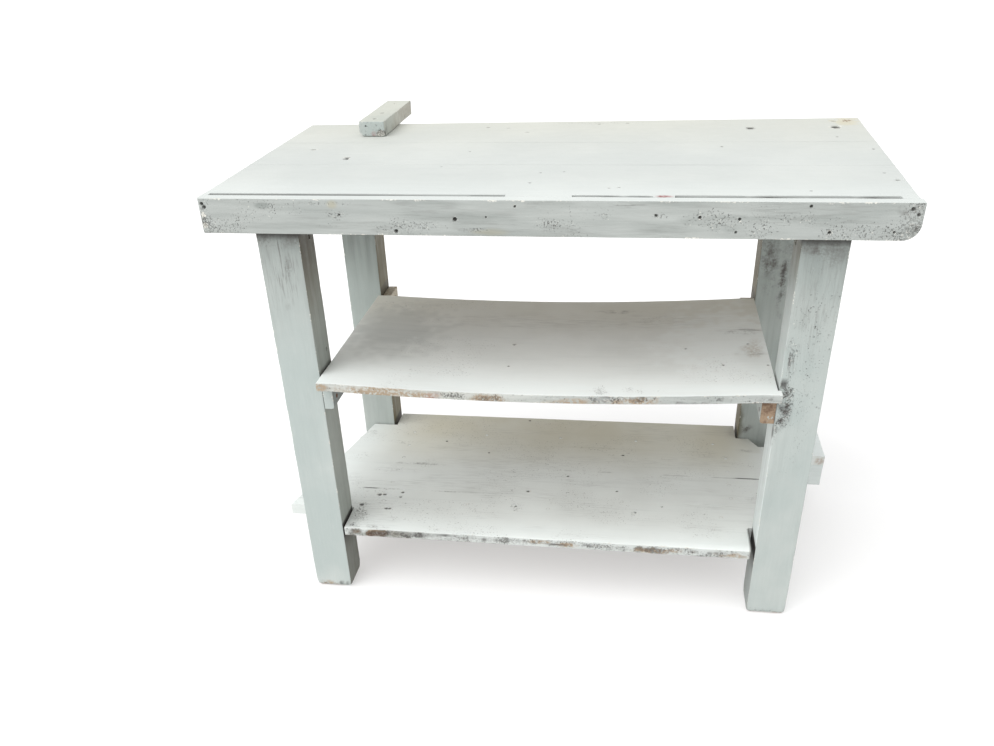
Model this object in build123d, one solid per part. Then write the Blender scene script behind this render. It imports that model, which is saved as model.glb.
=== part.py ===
from build123d import *
import os

os.makedirs("parts", exist_ok=True)

# Lengths are in millimetres. X runs to the right, Y to the back and Z up.
# The worktop's middle is at X and Y zero and the floor at Z zero, until export.

# Worktop
WORKTOP_LENGTH = 1200
WORKTOP_DEPTH = 648
WORKTOP_THICKNESS = 60
WORKTOP_HEIGHT = 865
LIPPING_WIDTH = 24
LIPPING_OVERRUN = 4
FRONT_PLANK_SHARE = 0.366
MIDDLE_PLANK_SHARE = 0.318
CORNER_CHAMFER = 5
END_ROUNDING = 27
RIGHT_END_SKEW = 24
RIGHT_END_TRUE_SHARE = 0.15
BACK_EDGE_SKEW = 50

# Stopped grooves along the joint behind the lipping
GROOVE_DEPTH = 8
GROOVE_END_MARGIN_LEFT = 14
GROOVE_END_MARGIN_RIGHT = 24
GROOVE_BRIDGE_START = 537
GROOVE_BRIDGE_LENGTH = 111
GROOVE_WIDTH = 7
GROOVE_WIDTH_RIGHT_END = 18
GROOVE_LEFT_SKEW = 14
GROOVE_RIGHT_DRIFT = 5

# Dowels across the board joints
DOWEL_DIAMETER = 12
LIPPING_DOWEL_LENGTH = 38
PLANK_DOWEL_LENGTH = 60
LIPPING_DOWEL_DEPTH = 16
DOWELS_PER_JOINT = 5
DOWEL_ROW_SHARE = 0.86

# Legs
LEG_WIDTH = 80
LEG_DEPTH = 78
LEG_INSET_LEFT = 82
LEG_INSET_RIGHT = 93
LEG_SETBACK_FRONT = 36
LEG_SETBACK_BACK = 59
FOOT_CHAMFER = 3

# Upper rails between front and back leg, tenoned and pegged
UPPER_RAIL_THICKNESS = 40
UPPER_RAIL_HEIGHT = 50
TENON_LENGTH = 45
TENON_THICKNESS = 14
TENON_SHOULDER = 10
PEG_DIAMETER = 10
PEG_INSET = 24
PEG_DROP = 30
PEG_SINK = 6

# Screws up through the upper rails into the planks
TOP_SCREW_LENGTH = 90
TOP_SCREW_SHANK = 6
TOP_SCREW_HEAD = 12
TOP_SCREW_PLACES = (0.12, 0.26, 0.42, 0.72, 0.90)

# Middle shelf, a thin board that has sagged between its cleats
SHELF_TOP_HEIGHT = 521
SHELF_THICKNESS = 17
SHELF_FRONT_OVERHANG_LEFT = 36
SHELF_FRONT_OVERHANG_RIGHT = 20
SHELF_BACK_GAP_LEFT = 32
SHELF_BACK_GAP_RIGHT = 2
SHELF_SAG = 12
SHELF_BEARING = 30
SHELF_SIDE_GAP = 2
SHELF_EAR_WIDTH = 5
SHELF_EAR_GAP = 1

# Cleats under the middle shelf
LEFT_CLEAT_THICKNESS = 20
LEFT_CLEAT_HEIGHT = 56
RIGHT_CLEAT_THICKNESS = 27
RIGHT_CLEAT_HEIGHT = 52
RIGHT_CLEAT_SHORTFALL = 30
CLEAT_CHAMFER = 6
CLEAT_SCREW_SPACING = 30
CLEAT_SCREW_SHANK = 4.5
CLEAT_SCREW_HEAD = 9
CLEAT_SCREW_GRIP = 32

# Lower shelf boards, front to back
DECK_TOP_HEIGHT = 163
DECK_THICKNESS = 25
BOARD_JOINT_GAP = 2
FRONT_BOARD_WIDTH = 165
REAR_BOARD_WIDTH = 136
SECOND_BOARD_SHARE = 0.48
DECK_BACK_INSET = 15
DECK_RIGHT_END_INSET = 100
REAR_BOARD_OVERRUN = 25
LEFT_END_FRONT_OVERRUN = 65
LEFT_END_BACK_UNDERRUN = 27
NOTCH_GAP = 2
FRONT_RIGHT_NOTCH_GAP = 6
BACK_LEFT_NOTCH_GAP = 7
BACK_RIGHT_NOTCH_GAP = 11
BACK_RIGHT_OUTER_GAP = 9
BROKEN_CORNER_WIDTH = 20
BROKEN_CORNER_DEPTH = 39
SOUND_NOTCH_EDGE = 30

# Rails and bearers under the lower shelf
LOWER_RAIL_DEPTH = 74
FRONT_RAIL_HEIGHT = 44
REAR_RAIL_HEIGHT = 56
REAR_RAIL_LEFT_COVER = 48
BEARER_WIDTH = 60
BEARER_INSET = 18

# Coach screws with washers that hold the lower rails to the legs
COACH_SHANK = 8
COACH_GRIP = 40
COACH_HEAD_WIDTH = 13
COACH_HEAD_HEIGHT = 5.5
WASHER_DIAMETER = 24
WASHER_THICKNESS = 2

# Long screws through the lower rails into the bearers
BEARER_SCREW_SHANK = 6
BEARER_SCREW_HEAD = 12
BEARER_SCREW_GRIP = 45

# Nails of the lower shelf boards
NAIL_SHANK = 3
NAIL_HEAD = 7
NAIL_HEAD_HEIGHT = 1.6
NAIL_LENGTH = 55
NAIL_SINK = 1
NAIL_ROW_SHARE = 0.86
NAILS_PER_RAIL = 5
NAIL_PAIR_SHARE = 0.5
BEARER_NAIL_OFFSET = 14

# Stop block on the worktop
BLOCK_WIDTH = 57
BLOCK_HEIGHT = 31
BLOCK_LENGTH = 261
BLOCK_LEFT_INSET = 151
BLOCK_OVERHANG = 126
BLOCK_CHAMFER = 9
BLOCK_SCREW_SHANK = 5
BLOCK_SCREW_HEAD = 10
BLOCK_SCREW_LENGTH = 70
BLOCK_SCREW_SINK = 2
BLOCK_SCREW_PLACES = (0.12, 0.38)
BLOCK_NAIL_HOLE_PLACE = 0.84
BLOCK_NAIL_HOLE_DIAMETER = 5
BLOCK_NAIL_HOLE_DEPTH = 14

# Free play round every dowel, peg, screw and nail
FASTENER_FIT = 0.1
TENON_FIT = 0.2

# Faces that several pieces share
TOP_LEFT = -WORKTOP_LENGTH / 2
TOP_RIGHT = WORKTOP_LENGTH / 2
TOP_FRONT = -WORKTOP_DEPTH / 2
TOP_BACK = WORKTOP_DEPTH / 2
TOP_UNDERSIDE = WORKTOP_HEIGHT - WORKTOP_THICKNESS
TOP_MIDDLE_HEIGHT = WORKTOP_HEIGHT - WORKTOP_THICKNESS / 2
LIPPING_JOINT = TOP_FRONT + LIPPING_WIDTH
PLANKS_DEPTH = TOP_BACK - LIPPING_JOINT
FRONT_PLANK_JOINT = LIPPING_JOINT + PLANKS_DEPTH * FRONT_PLANK_SHARE
MIDDLE_PLANK_JOINT = FRONT_PLANK_JOINT + PLANKS_DEPTH * MIDDLE_PLANK_SHARE

LEFT_LEG_OUTER = TOP_LEFT + LEG_INSET_LEFT
LEFT_LEG_INNER = LEFT_LEG_OUTER + LEG_WIDTH
RIGHT_LEG_OUTER = TOP_RIGHT - LEG_INSET_RIGHT
RIGHT_LEG_INNER = RIGHT_LEG_OUTER - LEG_WIDTH
FRONT_LEG_FRONT = TOP_FRONT + LEG_SETBACK_FRONT
FRONT_LEG_BACK = FRONT_LEG_FRONT + LEG_DEPTH
BACK_LEG_BACK = TOP_BACK - LEG_SETBACK_BACK
BACK_LEG_FRONT = BACK_LEG_BACK - LEG_DEPTH

SHELF_FRONT_LEFT = FRONT_LEG_FRONT - SHELF_FRONT_OVERHANG_LEFT
SHELF_FRONT_RIGHT = FRONT_LEG_FRONT - SHELF_FRONT_OVERHANG_RIGHT
SHELF_BACK_LEFT = BACK_LEG_FRONT - SHELF_BACK_GAP_LEFT
SHELF_BACK_RIGHT = BACK_LEG_FRONT - SHELF_BACK_GAP_RIGHT
SHELF_UNDERSIDE = SHELF_TOP_HEIGHT - SHELF_THICKNESS
SHELF_LEFT = LEFT_LEG_INNER + SHELF_SIDE_GAP
SHELF_RIGHT = RIGHT_LEG_INNER - SHELF_SIDE_GAP
SHELF_EAR_RIGHT = RIGHT_LEG_INNER + SHELF_EAR_WIDTH
SHELF_EAR_BACK = FRONT_LEG_FRONT - SHELF_EAR_GAP
RIGHT_CLEAT_BACK = BACK_LEG_BACK - RIGHT_CLEAT_SHORTFALL

DECK_UNDERSIDE = DECK_TOP_HEIGHT - DECK_THICKNESS
DECK_FRONT = FRONT_LEG_FRONT
DECK_BACK = BACK_LEG_BACK - DECK_BACK_INSET
DECK_RIGHT = TOP_RIGHT - DECK_RIGHT_END_INSET
REAR_BOARD_RIGHT = TOP_RIGHT + REAR_BOARD_OVERRUN
FRONT_RAIL_BACK = FRONT_LEG_BACK + LOWER_RAIL_DEPTH
REAR_RAIL_FRONT = BACK_LEG_FRONT - LOWER_RAIL_DEPTH
REAR_RAIL_LEFT = LEFT_LEG_INNER - REAR_RAIL_LEFT_COVER

BLOCK_LEFT = TOP_LEFT + BLOCK_LEFT_INSET
BLOCK_BACK = TOP_BACK + BLOCK_OVERHANG
BLOCK_FRONT = BLOCK_BACK - BLOCK_LENGTH

# The exported frame has its origin under the middle of the whole bench
FRAME_SHIFT_X = -(TOP_LEFT + REAR_BOARD_RIGHT) / 2
FRAME_SHIFT_Y = -(TOP_FRONT + BLOCK_BACK) / 2


def block(x_low, x_high, y_low, y_high, z_low, z_high):
    size = (x_high - x_low, y_high - y_low, z_high - z_low)
    return Pos(x_low, y_low, z_low) * Box(*size, align=(Align.MIN, Align.MIN, Align.MIN))


def plan_prism(corners, z_low, height):
    face = make_face(Polyline(*corners, close=True))
    return Pos(0, 0, z_low) * extrude(face, height, dir=(0, 0, 1))


def spread(low, high, count, share):
    middle = (low + high) / 2
    reach = (high - low) * share / 2
    return [middle - reach + 2 * reach * i / (count - 1) for i in range(count)]


def save(piece, name):
    moved = Pos(FRAME_SHIFT_X, FRAME_SHIFT_Y, 0) * piece
    export_step(moved, f"parts/{name}.step")


def save_group(pieces, name):
    save(Compound(children=list(pieces)), name)


# Round stock along one axis. The place is the middle of its starting face.
AXIS_TURNS = {
    "+x": Rot(0, 90, 0),
    "-x": Rot(0, -90, 0),
    "+y": Rot(-90, 0, 0),
    "-y": Rot(90, 0, 0),
    "+z": Rot(0, 0, 0),
    "-z": Rot(180, 0, 0),
}
FROM_START = (Align.CENTER, Align.CENTER, Align.MIN)


def rod(diameter, length, place, axis, fit=0):
    stock = Cylinder(diameter / 2 + fit, length, align=FROM_START)
    return Pos(*place) * AXIS_TURNS[axis] * stock


# A countersunk screw runs from its flat head along the axis
def sunk_screw(shank, head, length, place, axis, fit=0):
    cone_height = (head - shank) / 2
    cone = Cone(head / 2 + fit, shank / 2 + fit, cone_height, align=FROM_START)
    stem = Cylinder(shank / 2 + fit, length, align=FROM_START)
    return Pos(*place) * AXIS_TURNS[axis] * (cone + stem)


# A coach screw's washer and hexagon head stand on the wood, its shank goes in
def coach_screw(place, axis, length, fit=0):
    shank = Cylinder(COACH_SHANK / 2 + fit, length, align=FROM_START)
    if fit:
        return Pos(*place) * AXIS_TURNS[axis] * shank
    hexagon = RegularPolygon(COACH_HEAD_WIDTH / 2, 6, major_radius=False)
    head = Pos(0, 0, -WASHER_THICKNESS - COACH_HEAD_HEIGHT) * extrude(hexagon, COACH_HEAD_HEIGHT)
    neck = Pos(0, 0, -WASHER_THICKNESS) * Cylinder(COACH_SHANK / 2, WASHER_THICKNESS, align=FROM_START)
    return Pos(*place) * AXIS_TURNS[axis] * (head + neck + shank)


def coach_washer(place, axis):
    disc = Cylinder(WASHER_DIAMETER / 2, WASHER_THICKNESS, align=FROM_START)
    hole = Cylinder(COACH_SHANK / 2 + FASTENER_FIT, WASHER_THICKNESS, align=FROM_START)
    return Pos(*place) * AXIS_TURNS[axis] * Pos(0, 0, -WASHER_THICKNESS) * (disc - hole)


# A nail is a round shank under a flat head, driven downwards
def nail(place, fit=0):
    head = Cylinder(NAIL_HEAD / 2 + fit, NAIL_HEAD_HEIGHT, align=FROM_START)
    shank = Cylinder(NAIL_SHANK / 2 + fit, NAIL_LENGTH, align=FROM_START)
    return Pos(*place) * AXIS_TURNS["-z"] * (head + shank)


def cut_away(piece, cutters):
    for cutter in cutters:
        piece = piece - cutter
    return piece


# Left stopped groove, which wanders backwards towards its outer end
def left_groove():
    outer = TOP_LEFT + GROOVE_END_MARGIN_LEFT
    inner = TOP_LEFT + GROOVE_BRIDGE_START
    drift = GROOVE_LEFT_SKEW / 2
    half = GROOVE_WIDTH / 2
    corners = (
        (outer, LIPPING_JOINT + drift - half),
        (inner, LIPPING_JOINT - drift - half),
        (inner, LIPPING_JOINT - drift + half),
        (outer, LIPPING_JOINT + drift + half),
    )
    return plan_prism(corners, WORKTOP_HEIGHT - GROOVE_DEPTH, GROOVE_DEPTH)


# Right stopped groove, which widens towards its slanted outer end
def right_groove():
    inner = TOP_LEFT + GROOVE_BRIDGE_START + GROOVE_BRIDGE_LENGTH
    outer = TOP_RIGHT - GROOVE_END_MARGIN_RIGHT
    outer_front = LIPPING_JOINT - GROOVE_RIGHT_DRIFT
    corners = (
        (inner, LIPPING_JOINT),
        (outer, outer_front),
        (outer - GROOVE_WIDTH, outer_front + GROOVE_WIDTH_RIGHT_END),
        (inner, LIPPING_JOINT + GROOVE_WIDTH),
    )
    return plan_prism(corners, WORKTOP_HEIGHT - GROOVE_DEPTH, GROOVE_DEPTH)


# The worktop's right end was sawn a little out of square
def right_end(y):
    share = (y - TOP_FRONT) / WORKTOP_DEPTH
    return TOP_RIGHT + RIGHT_END_SKEW * (share - RIGHT_END_TRUE_SHARE)


# A full-length worktop board with its lower right arris rounded over. The skew
# is how much further back it reaches on the right than on the left, the
# overrun how far its right end stands out beyond the others.
def worktop_board(y_low, y_high, skew=0, overrun=0):
    corners = (
        (TOP_LEFT, y_low),
        (right_end(y_low) + overrun, y_low),
        (right_end(y_high + skew) + overrun, y_high + skew),
        (TOP_LEFT, y_high),
    )
    board = plan_prism(corners, TOP_UNDERSIDE, WORKTOP_THICKNESS)
    lower_right = board.faces().sort_by(Axis.Z)[0].edges().sort_by(Axis.X)[-1]
    return fillet(lower_right, END_ROUNDING)


def dowel_places(joint, start_offset):
    columns = spread(TOP_LEFT, TOP_RIGHT, DOWELS_PER_JOINT, DOWEL_ROW_SHARE)
    return [(x, joint - start_offset, TOP_MIDDLE_HEIGHT) for x in columns]


def dowels(joint, length, start_offset, fit=0):
    return [rod(DOWEL_DIAMETER, length, place, "+y", fit) for place in dowel_places(joint, start_offset)]


def lipping_dowels(fit=0):
    return dowels(LIPPING_JOINT, LIPPING_DOWEL_LENGTH, LIPPING_DOWEL_DEPTH, fit)


def plank_dowels(fit=0):
    half = PLANK_DOWEL_LENGTH / 2
    front = dowels(FRONT_PLANK_JOINT, PLANK_DOWEL_LENGTH, half, fit)
    return front + dowels(MIDDLE_PLANK_JOINT, PLANK_DOWEL_LENGTH, half, fit)


# The upper rails lie in the middle of the legs' width
def rail_middles():
    half = LEG_WIDTH / 2
    return (LEFT_LEG_OUTER + half, RIGHT_LEG_OUTER - half)


def tenon(rail_x, fit=0):
    half = TENON_THICKNESS / 2 + fit
    return block(
        rail_x - half,
        rail_x + half,
        FRONT_LEG_BACK - TENON_LENGTH - fit,
        BACK_LEG_FRONT + TENON_LENGTH + fit,
        TOP_UNDERSIDE - UPPER_RAIL_HEIGHT + TENON_SHOULDER - fit,
        TOP_UNDERSIDE - TENON_SHOULDER + fit,
    )


def peg_height():
    return TOP_UNDERSIDE - PEG_DROP


# Each peg starts on the leg's outer face and stops short of the inner one
def pegs(fit=0):
    made = []
    for y in (FRONT_LEG_BACK - PEG_INSET, BACK_LEG_FRONT + PEG_INSET):
        length = LEG_WIDTH - PEG_SINK
        made.append(rod(PEG_DIAMETER, length, (LEFT_LEG_OUTER, y, peg_height()), "+x", fit))
        made.append(rod(PEG_DIAMETER, length, (RIGHT_LEG_OUTER, y, peg_height()), "-x", fit))
    return made


# The inner end of each peg hole stays open on the leg's inner face
def peg_holes():
    made = []
    for y in (FRONT_LEG_BACK - PEG_INSET, BACK_LEG_FRONT + PEG_INSET):
        for x in (LEFT_LEG_OUTER, RIGHT_LEG_INNER):
            made.append(rod(PEG_DIAMETER, LEG_WIDTH, (x, y, peg_height()), "+x", FASTENER_FIT))
    return made


def top_screws(fit=0):
    made = []
    low = TOP_UNDERSIDE - UPPER_RAIL_HEIGHT
    for x in rail_middles():
        for share in TOP_SCREW_PLACES:
            y = FRONT_LEG_BACK + (BACK_LEG_FRONT - FRONT_LEG_BACK) * share
            place = (x, y, low)
            made.append(sunk_screw(TOP_SCREW_SHANK, TOP_SCREW_HEAD, TOP_SCREW_LENGTH, place, "+z", fit))
    return made


def upper_rail(rail_x):
    half = UPPER_RAIL_THICKNESS / 2
    low = TOP_UNDERSIDE - UPPER_RAIL_HEIGHT
    rail = block(rail_x - half, rail_x + half, FRONT_LEG_BACK, BACK_LEG_FRONT, low, TOP_UNDERSIDE)
    rail = rail + tenon(rail_x)
    return cut_away(rail, pegs(FASTENER_FIT) + top_screws(FASTENER_FIT))


# Two screws in each leg, in the middle of where the cleat lies on it
def cleat_screw_rows(cleat_height, cleat_back):
    middle = SHELF_UNDERSIDE - cleat_height / 2
    low = middle - cleat_height / 6
    high = middle + cleat_height / 6
    half = CLEAT_SCREW_SPACING / 2
    rows = []
    for place in (FRONT_LEG_FRONT + LEG_DEPTH / 2, (BACK_LEG_FRONT + cleat_back) / 2):
        rows += [(place - half, low), (place + half, high)]
    return rows


def cleat_screws(fit=0):
    made = []
    for y, z in cleat_screw_rows(LEFT_CLEAT_HEIGHT, BACK_LEG_BACK):
        place = (LEFT_LEG_INNER + LEFT_CLEAT_THICKNESS, y, z)
        length = LEFT_CLEAT_THICKNESS + CLEAT_SCREW_GRIP
        made.append(sunk_screw(CLEAT_SCREW_SHANK, CLEAT_SCREW_HEAD, length, place, "-x", fit))
    for y, z in cleat_screw_rows(RIGHT_CLEAT_HEIGHT, RIGHT_CLEAT_BACK):
        place = (RIGHT_LEG_INNER - RIGHT_CLEAT_THICKNESS, y, z)
        length = RIGHT_CLEAT_THICKNESS + CLEAT_SCREW_GRIP
        made.append(sunk_screw(CLEAT_SCREW_SHANK, CLEAT_SCREW_HEAD, length, place, "+x", fit))
    return made


def cleat(x_low, x_high, back, height):
    body = block(x_low, x_high, FRONT_LEG_FRONT, back, SHELF_UNDERSIDE - height, SHELF_UNDERSIDE)
    lower = body.edges().filter_by(Axis.Y).sort_by(Axis.Z)[:2]
    inner = lower.sort_by(lambda edge: abs(edge.center().X))[0]
    body = chamfer(inner, CLEAT_CHAMFER)
    return cut_away(body, cleat_screws(FASTENER_FIT))


# Lower rails and their coach screws
def coach_places():
    half = LEG_WIDTH / 2
    low_front = DECK_UNDERSIDE - FRONT_RAIL_HEIGHT / 2
    low_rear = DECK_UNDERSIDE - REAR_RAIL_HEIGHT / 2
    rear_left = (REAR_RAIL_LEFT + LEFT_LEG_INNER) / 2
    return (
        ((LEFT_LEG_OUTER + half, FRONT_RAIL_BACK, low_front), "-y"),
        ((RIGHT_LEG_OUTER - half, FRONT_RAIL_BACK, low_front), "-y"),
        ((rear_left, REAR_RAIL_FRONT, low_rear), "+y"),
        ((RIGHT_LEG_OUTER - half, REAR_RAIL_FRONT, low_rear), "+y"),
    )


def coach_screws(fit=0):
    length = LOWER_RAIL_DEPTH + COACH_GRIP
    return [coach_screw(place, axis, length, fit) for place, axis in coach_places()]


def coach_washers():
    return [coach_washer(place, axis) for place, axis in coach_places()]


def bearer_middles():
    offset = BEARER_INSET + BEARER_WIDTH / 2
    return (LEFT_LEG_INNER + offset, RIGHT_LEG_INNER - offset)


def bearer_screws(fit=0):
    made = []
    height = DECK_UNDERSIDE - FRONT_RAIL_HEIGHT / 2
    length = LOWER_RAIL_DEPTH + BEARER_SCREW_GRIP
    for x in bearer_middles():
        for y, axis in ((FRONT_LEG_BACK, "+y"), (BACK_LEG_FRONT, "-y")):
            place = (x, y, height)
            made.append(sunk_screw(BEARER_SCREW_SHANK, BEARER_SCREW_HEAD, length, place, axis, fit))
    return made


def lower_rail(x_low, x_high, y_low, y_high, height):
    rail = block(x_low, x_high, y_low, y_high, DECK_UNDERSIDE - height, DECK_UNDERSIDE)
    cutters = coach_screws(FASTENER_FIT) + bearer_screws(FASTENER_FIT) + nails(FASTENER_FIT)
    return cut_away(rail, cutters)


def lower_bearer(middle):
    half = BEARER_WIDTH / 2
    low = DECK_UNDERSIDE - FRONT_RAIL_HEIGHT
    bearer = block(middle - half, middle + half, FRONT_RAIL_BACK, REAR_RAIL_FRONT, low, DECK_UNDERSIDE)
    return cut_away(bearer, bearer_screws(FASTENER_FIT) + nails(FASTENER_FIT))


# Front and back edge of each lower shelf board. Two narrower boards fill the
# space between the front and the rear one.
def board_edges():
    front = (DECK_FRONT, DECK_FRONT + FRONT_BOARD_WIDTH)
    rear = (DECK_BACK - REAR_BOARD_WIDTH, DECK_BACK)
    second_front = front[1] + BOARD_JOINT_GAP
    third_back = rear[0] - BOARD_JOINT_GAP
    wood = third_back - second_front - BOARD_JOINT_GAP
    second_back = second_front + wood * SECOND_BOARD_SHARE
    return (front, (second_front, second_back), (second_back + BOARD_JOINT_GAP, third_back), rear)


# All boards were sawn off together on the left, on a slant
def left_end(y):
    front_x = LEFT_LEG_OUTER - LEFT_END_FRONT_OVERRUN
    back_x = LEFT_LEG_OUTER + LEFT_END_BACK_UNDERRUN
    share = (y - FRONT_LEG_BACK) / (BACK_LEG_FRONT - FRONT_LEG_BACK)
    return front_x + (back_x - front_x) * share


def front_board_outline(y_low, y_high):
    notch_back = FRONT_LEG_BACK + NOTCH_GAP
    left = LEFT_LEG_INNER + NOTCH_GAP
    right = RIGHT_LEG_INNER - FRONT_RIGHT_NOTCH_GAP
    return (
        (left, y_low),
        (right, y_low),
        (right, notch_back),
        (DECK_RIGHT, notch_back),
        (DECK_RIGHT, y_high),
        (left_end(y_high), y_high),
        (left_end(notch_back), notch_back),
        (left, notch_back),
    )


def inner_board_outline(y_low, y_high):
    return ((left_end(y_low), y_low), (DECK_RIGHT, y_low), (DECK_RIGHT, y_high), (left_end(y_high), y_high))


# The rear board is notched round both back legs, roughly on the right
def rear_board_outline(y_low, y_high):
    notch_front = BACK_LEG_FRONT - NOTCH_GAP
    left = LEFT_LEG_INNER + BACK_LEFT_NOTCH_GAP
    right = RIGHT_LEG_INNER - BACK_RIGHT_NOTCH_GAP
    sound = right + SOUND_NOTCH_EDGE
    outer = RIGHT_LEG_OUTER + BACK_RIGHT_OUTER_GAP
    return (
        (left_end(y_low), y_low),
        (REAR_BOARD_RIGHT, y_low),
        (REAR_BOARD_RIGHT, y_high),
        (outer, y_high),
        (outer, notch_front - BROKEN_CORNER_DEPTH),
        (sound + BROKEN_CORNER_WIDTH, notch_front - BROKEN_CORNER_DEPTH),
        (sound, notch_front),
        (right, notch_front),
        (right, y_high),
        (left, y_high),
        (left, notch_front),
        (left_end(notch_front), notch_front),
    )


# Nails go down into whatever lies under each board
def nail_places():
    front, second, third, rear = board_edges()
    columns = spread(LEFT_LEG_INNER, RIGHT_LEG_INNER, NAILS_PER_RAIL, NAIL_ROW_SHARE)
    places = [(x, (FRONT_LEG_BACK + FRONT_RAIL_BACK) / 2) for x in columns]
    places += [(x, (rear[0] + BACK_LEG_FRONT) / 2) for x in columns]
    for y_low, y_high in (second, third):
        for y in spread(y_low, y_high, 2, NAIL_PAIR_SHARE):
            places += [(x + BEARER_NAIL_OFFSET, y) for x in bearer_middles()]
    return [(x, y, DECK_TOP_HEIGHT - NAIL_SINK) for x, y in places]


def nails(fit=0):
    return [nail(place, fit) for place in nail_places()]


# The hole over a sunk nail head stays open
def nail_dimples():
    return [rod(NAIL_HEAD, NAIL_SINK, place, "+z", FASTENER_FIT) for place in nail_places()]


def lower_board(outline):
    board = plan_prism(outline, DECK_UNDERSIDE, DECK_THICKNESS)
    return cut_away(board, nails(FASTENER_FIT) + nail_dimples())


# The shelf seen from the front: level on the cleats, hanging in a curve between them
def shelf_profile():
    inner_left = SHELF_LEFT + SHELF_BEARING
    inner_right = SHELF_RIGHT - SHELF_BEARING
    middle = (inner_left + inner_right) / 2
    upper = SHELF_TOP_HEIGHT
    lower = SHELF_UNDERSIDE
    outline = [
        Line((SHELF_LEFT, upper), (inner_left, upper)),
        ThreePointArc((inner_left, upper), (middle, upper - SHELF_SAG), (inner_right, upper)),
        Line((inner_right, upper), (SHELF_EAR_RIGHT, upper)),
        Line((SHELF_EAR_RIGHT, upper), (SHELF_EAR_RIGHT, lower)),
        Line((SHELF_EAR_RIGHT, lower), (inner_right, lower)),
        ThreePointArc((inner_right, lower), (middle, lower - SHELF_SAG), (inner_left, lower)),
        Line((inner_left, lower), (SHELF_LEFT, lower)),
        Line((SHELF_LEFT, lower), (SHELF_LEFT, upper)),
    ]
    return make_face(outline)


# The shelf seen from above: neither long edge is square to the ends, and a
# small ear on the right reaches in front of the leg
def shelf_outline():
    return (
        (SHELF_LEFT, SHELF_FRONT_LEFT),
        (SHELF_EAR_RIGHT, SHELF_FRONT_RIGHT),
        (SHELF_EAR_RIGHT, SHELF_EAR_BACK),
        (SHELF_RIGHT, SHELF_EAR_BACK),
        (SHELF_RIGHT, SHELF_BACK_RIGHT),
        (SHELF_LEFT, SHELF_BACK_LEFT),
    )


def middle_shelf():
    stood = Pos(0, SHELF_FRONT_LEFT, 0) * Rot(90, 0, 0) * shelf_profile()
    board = extrude(stood, SHELF_BACK_RIGHT - SHELF_FRONT_LEFT, dir=(0, 1, 0))
    low = SHELF_UNDERSIDE - SHELF_SAG
    return board & plan_prism(shelf_outline(), low, SHELF_TOP_HEIGHT - low)


# Stop block and its two screws
def block_screw_places():
    x = BLOCK_LEFT + BLOCK_WIDTH / 2
    z = WORKTOP_HEIGHT + BLOCK_HEIGHT - BLOCK_SCREW_SINK
    return [(x, BLOCK_FRONT + BLOCK_LENGTH * share, z) for share in BLOCK_SCREW_PLACES]


def block_screws(fit=0):
    made = []
    for place in block_screw_places():
        made.append(sunk_screw(BLOCK_SCREW_SHANK, BLOCK_SCREW_HEAD, BLOCK_SCREW_LENGTH, place, "-z", fit))
    return made


def stop_block():
    top = WORKTOP_HEIGHT + BLOCK_HEIGHT
    right = BLOCK_LEFT + BLOCK_WIDTH
    body = block(BLOCK_LEFT, right, BLOCK_FRONT, BLOCK_BACK, WORKTOP_HEIGHT, top)
    lower_left = body.edges().filter_by(Axis.Y).sort_by(Axis.Z)[:2].sort_by(Axis.X)[0]
    body = chamfer(lower_left, BLOCK_CHAMFER)
    sinks = [rod(BLOCK_SCREW_HEAD, BLOCK_SCREW_SINK, place, "+z", FASTENER_FIT) for place in block_screw_places()]
    hole_y = BLOCK_FRONT + BLOCK_LENGTH * BLOCK_NAIL_HOLE_PLACE
    hole_place = (BLOCK_LEFT + BLOCK_WIDTH / 2, hole_y, top)
    hole = rod(BLOCK_NAIL_HOLE_DIAMETER, BLOCK_NAIL_HOLE_DEPTH, hole_place, "-z")
    return cut_away(body, block_screws(FASTENER_FIT) + sinks + [hole])


def leg(x_low, y_low):
    post = block(x_low, x_low + LEG_WIDTH, y_low, y_low + LEG_DEPTH, 0, TOP_UNDERSIDE)
    post = chamfer(post.faces().sort_by(Axis.Z)[0].edges(), FOOT_CHAMFER)
    mortises = [tenon(rail_x, TENON_FIT) for rail_x in rail_middles()]
    cutters = mortises + peg_holes() + cleat_screws(FASTENER_FIT) + coach_screws(FASTENER_FIT)
    return cut_away(post, cutters)


# Worktop pieces
lipping = worktop_board(TOP_FRONT, LIPPING_JOINT, overrun=LIPPING_OVERRUN)
left_corner = lipping.edges().filter_by(Axis.Z).sort_by(Axis.X)[:2].sort_by(Axis.Y)[0]
lipping = chamfer(left_corner, CORNER_CHAMFER)
grooves = [left_groove(), right_groove()]
save(cut_away(lipping, grooves + lipping_dowels(FASTENER_FIT)), "top_lipping")
front_plank = worktop_board(LIPPING_JOINT, FRONT_PLANK_JOINT)
plank_cutters = lipping_dowels(FASTENER_FIT) + plank_dowels(FASTENER_FIT) + top_screws(FASTENER_FIT)
save(cut_away(front_plank, grooves + plank_cutters), "top_plank_front")
save(cut_away(worktop_board(FRONT_PLANK_JOINT, MIDDLE_PLANK_JOINT), plank_cutters), "top_plank_middle")
back_cutters = plank_cutters + block_screws(FASTENER_FIT)
back_plank = worktop_board(MIDDLE_PLANK_JOINT, TOP_BACK, BACK_EDGE_SKEW)
save(cut_away(back_plank, back_cutters), "top_plank_back")
save_group(lipping_dowels(), "lipping_dowels")
save_group(plank_dowels(), "plank_dowels")
save(stop_block(), "stop_block")
save_group(block_screws(), "stop_block_screws")

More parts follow.
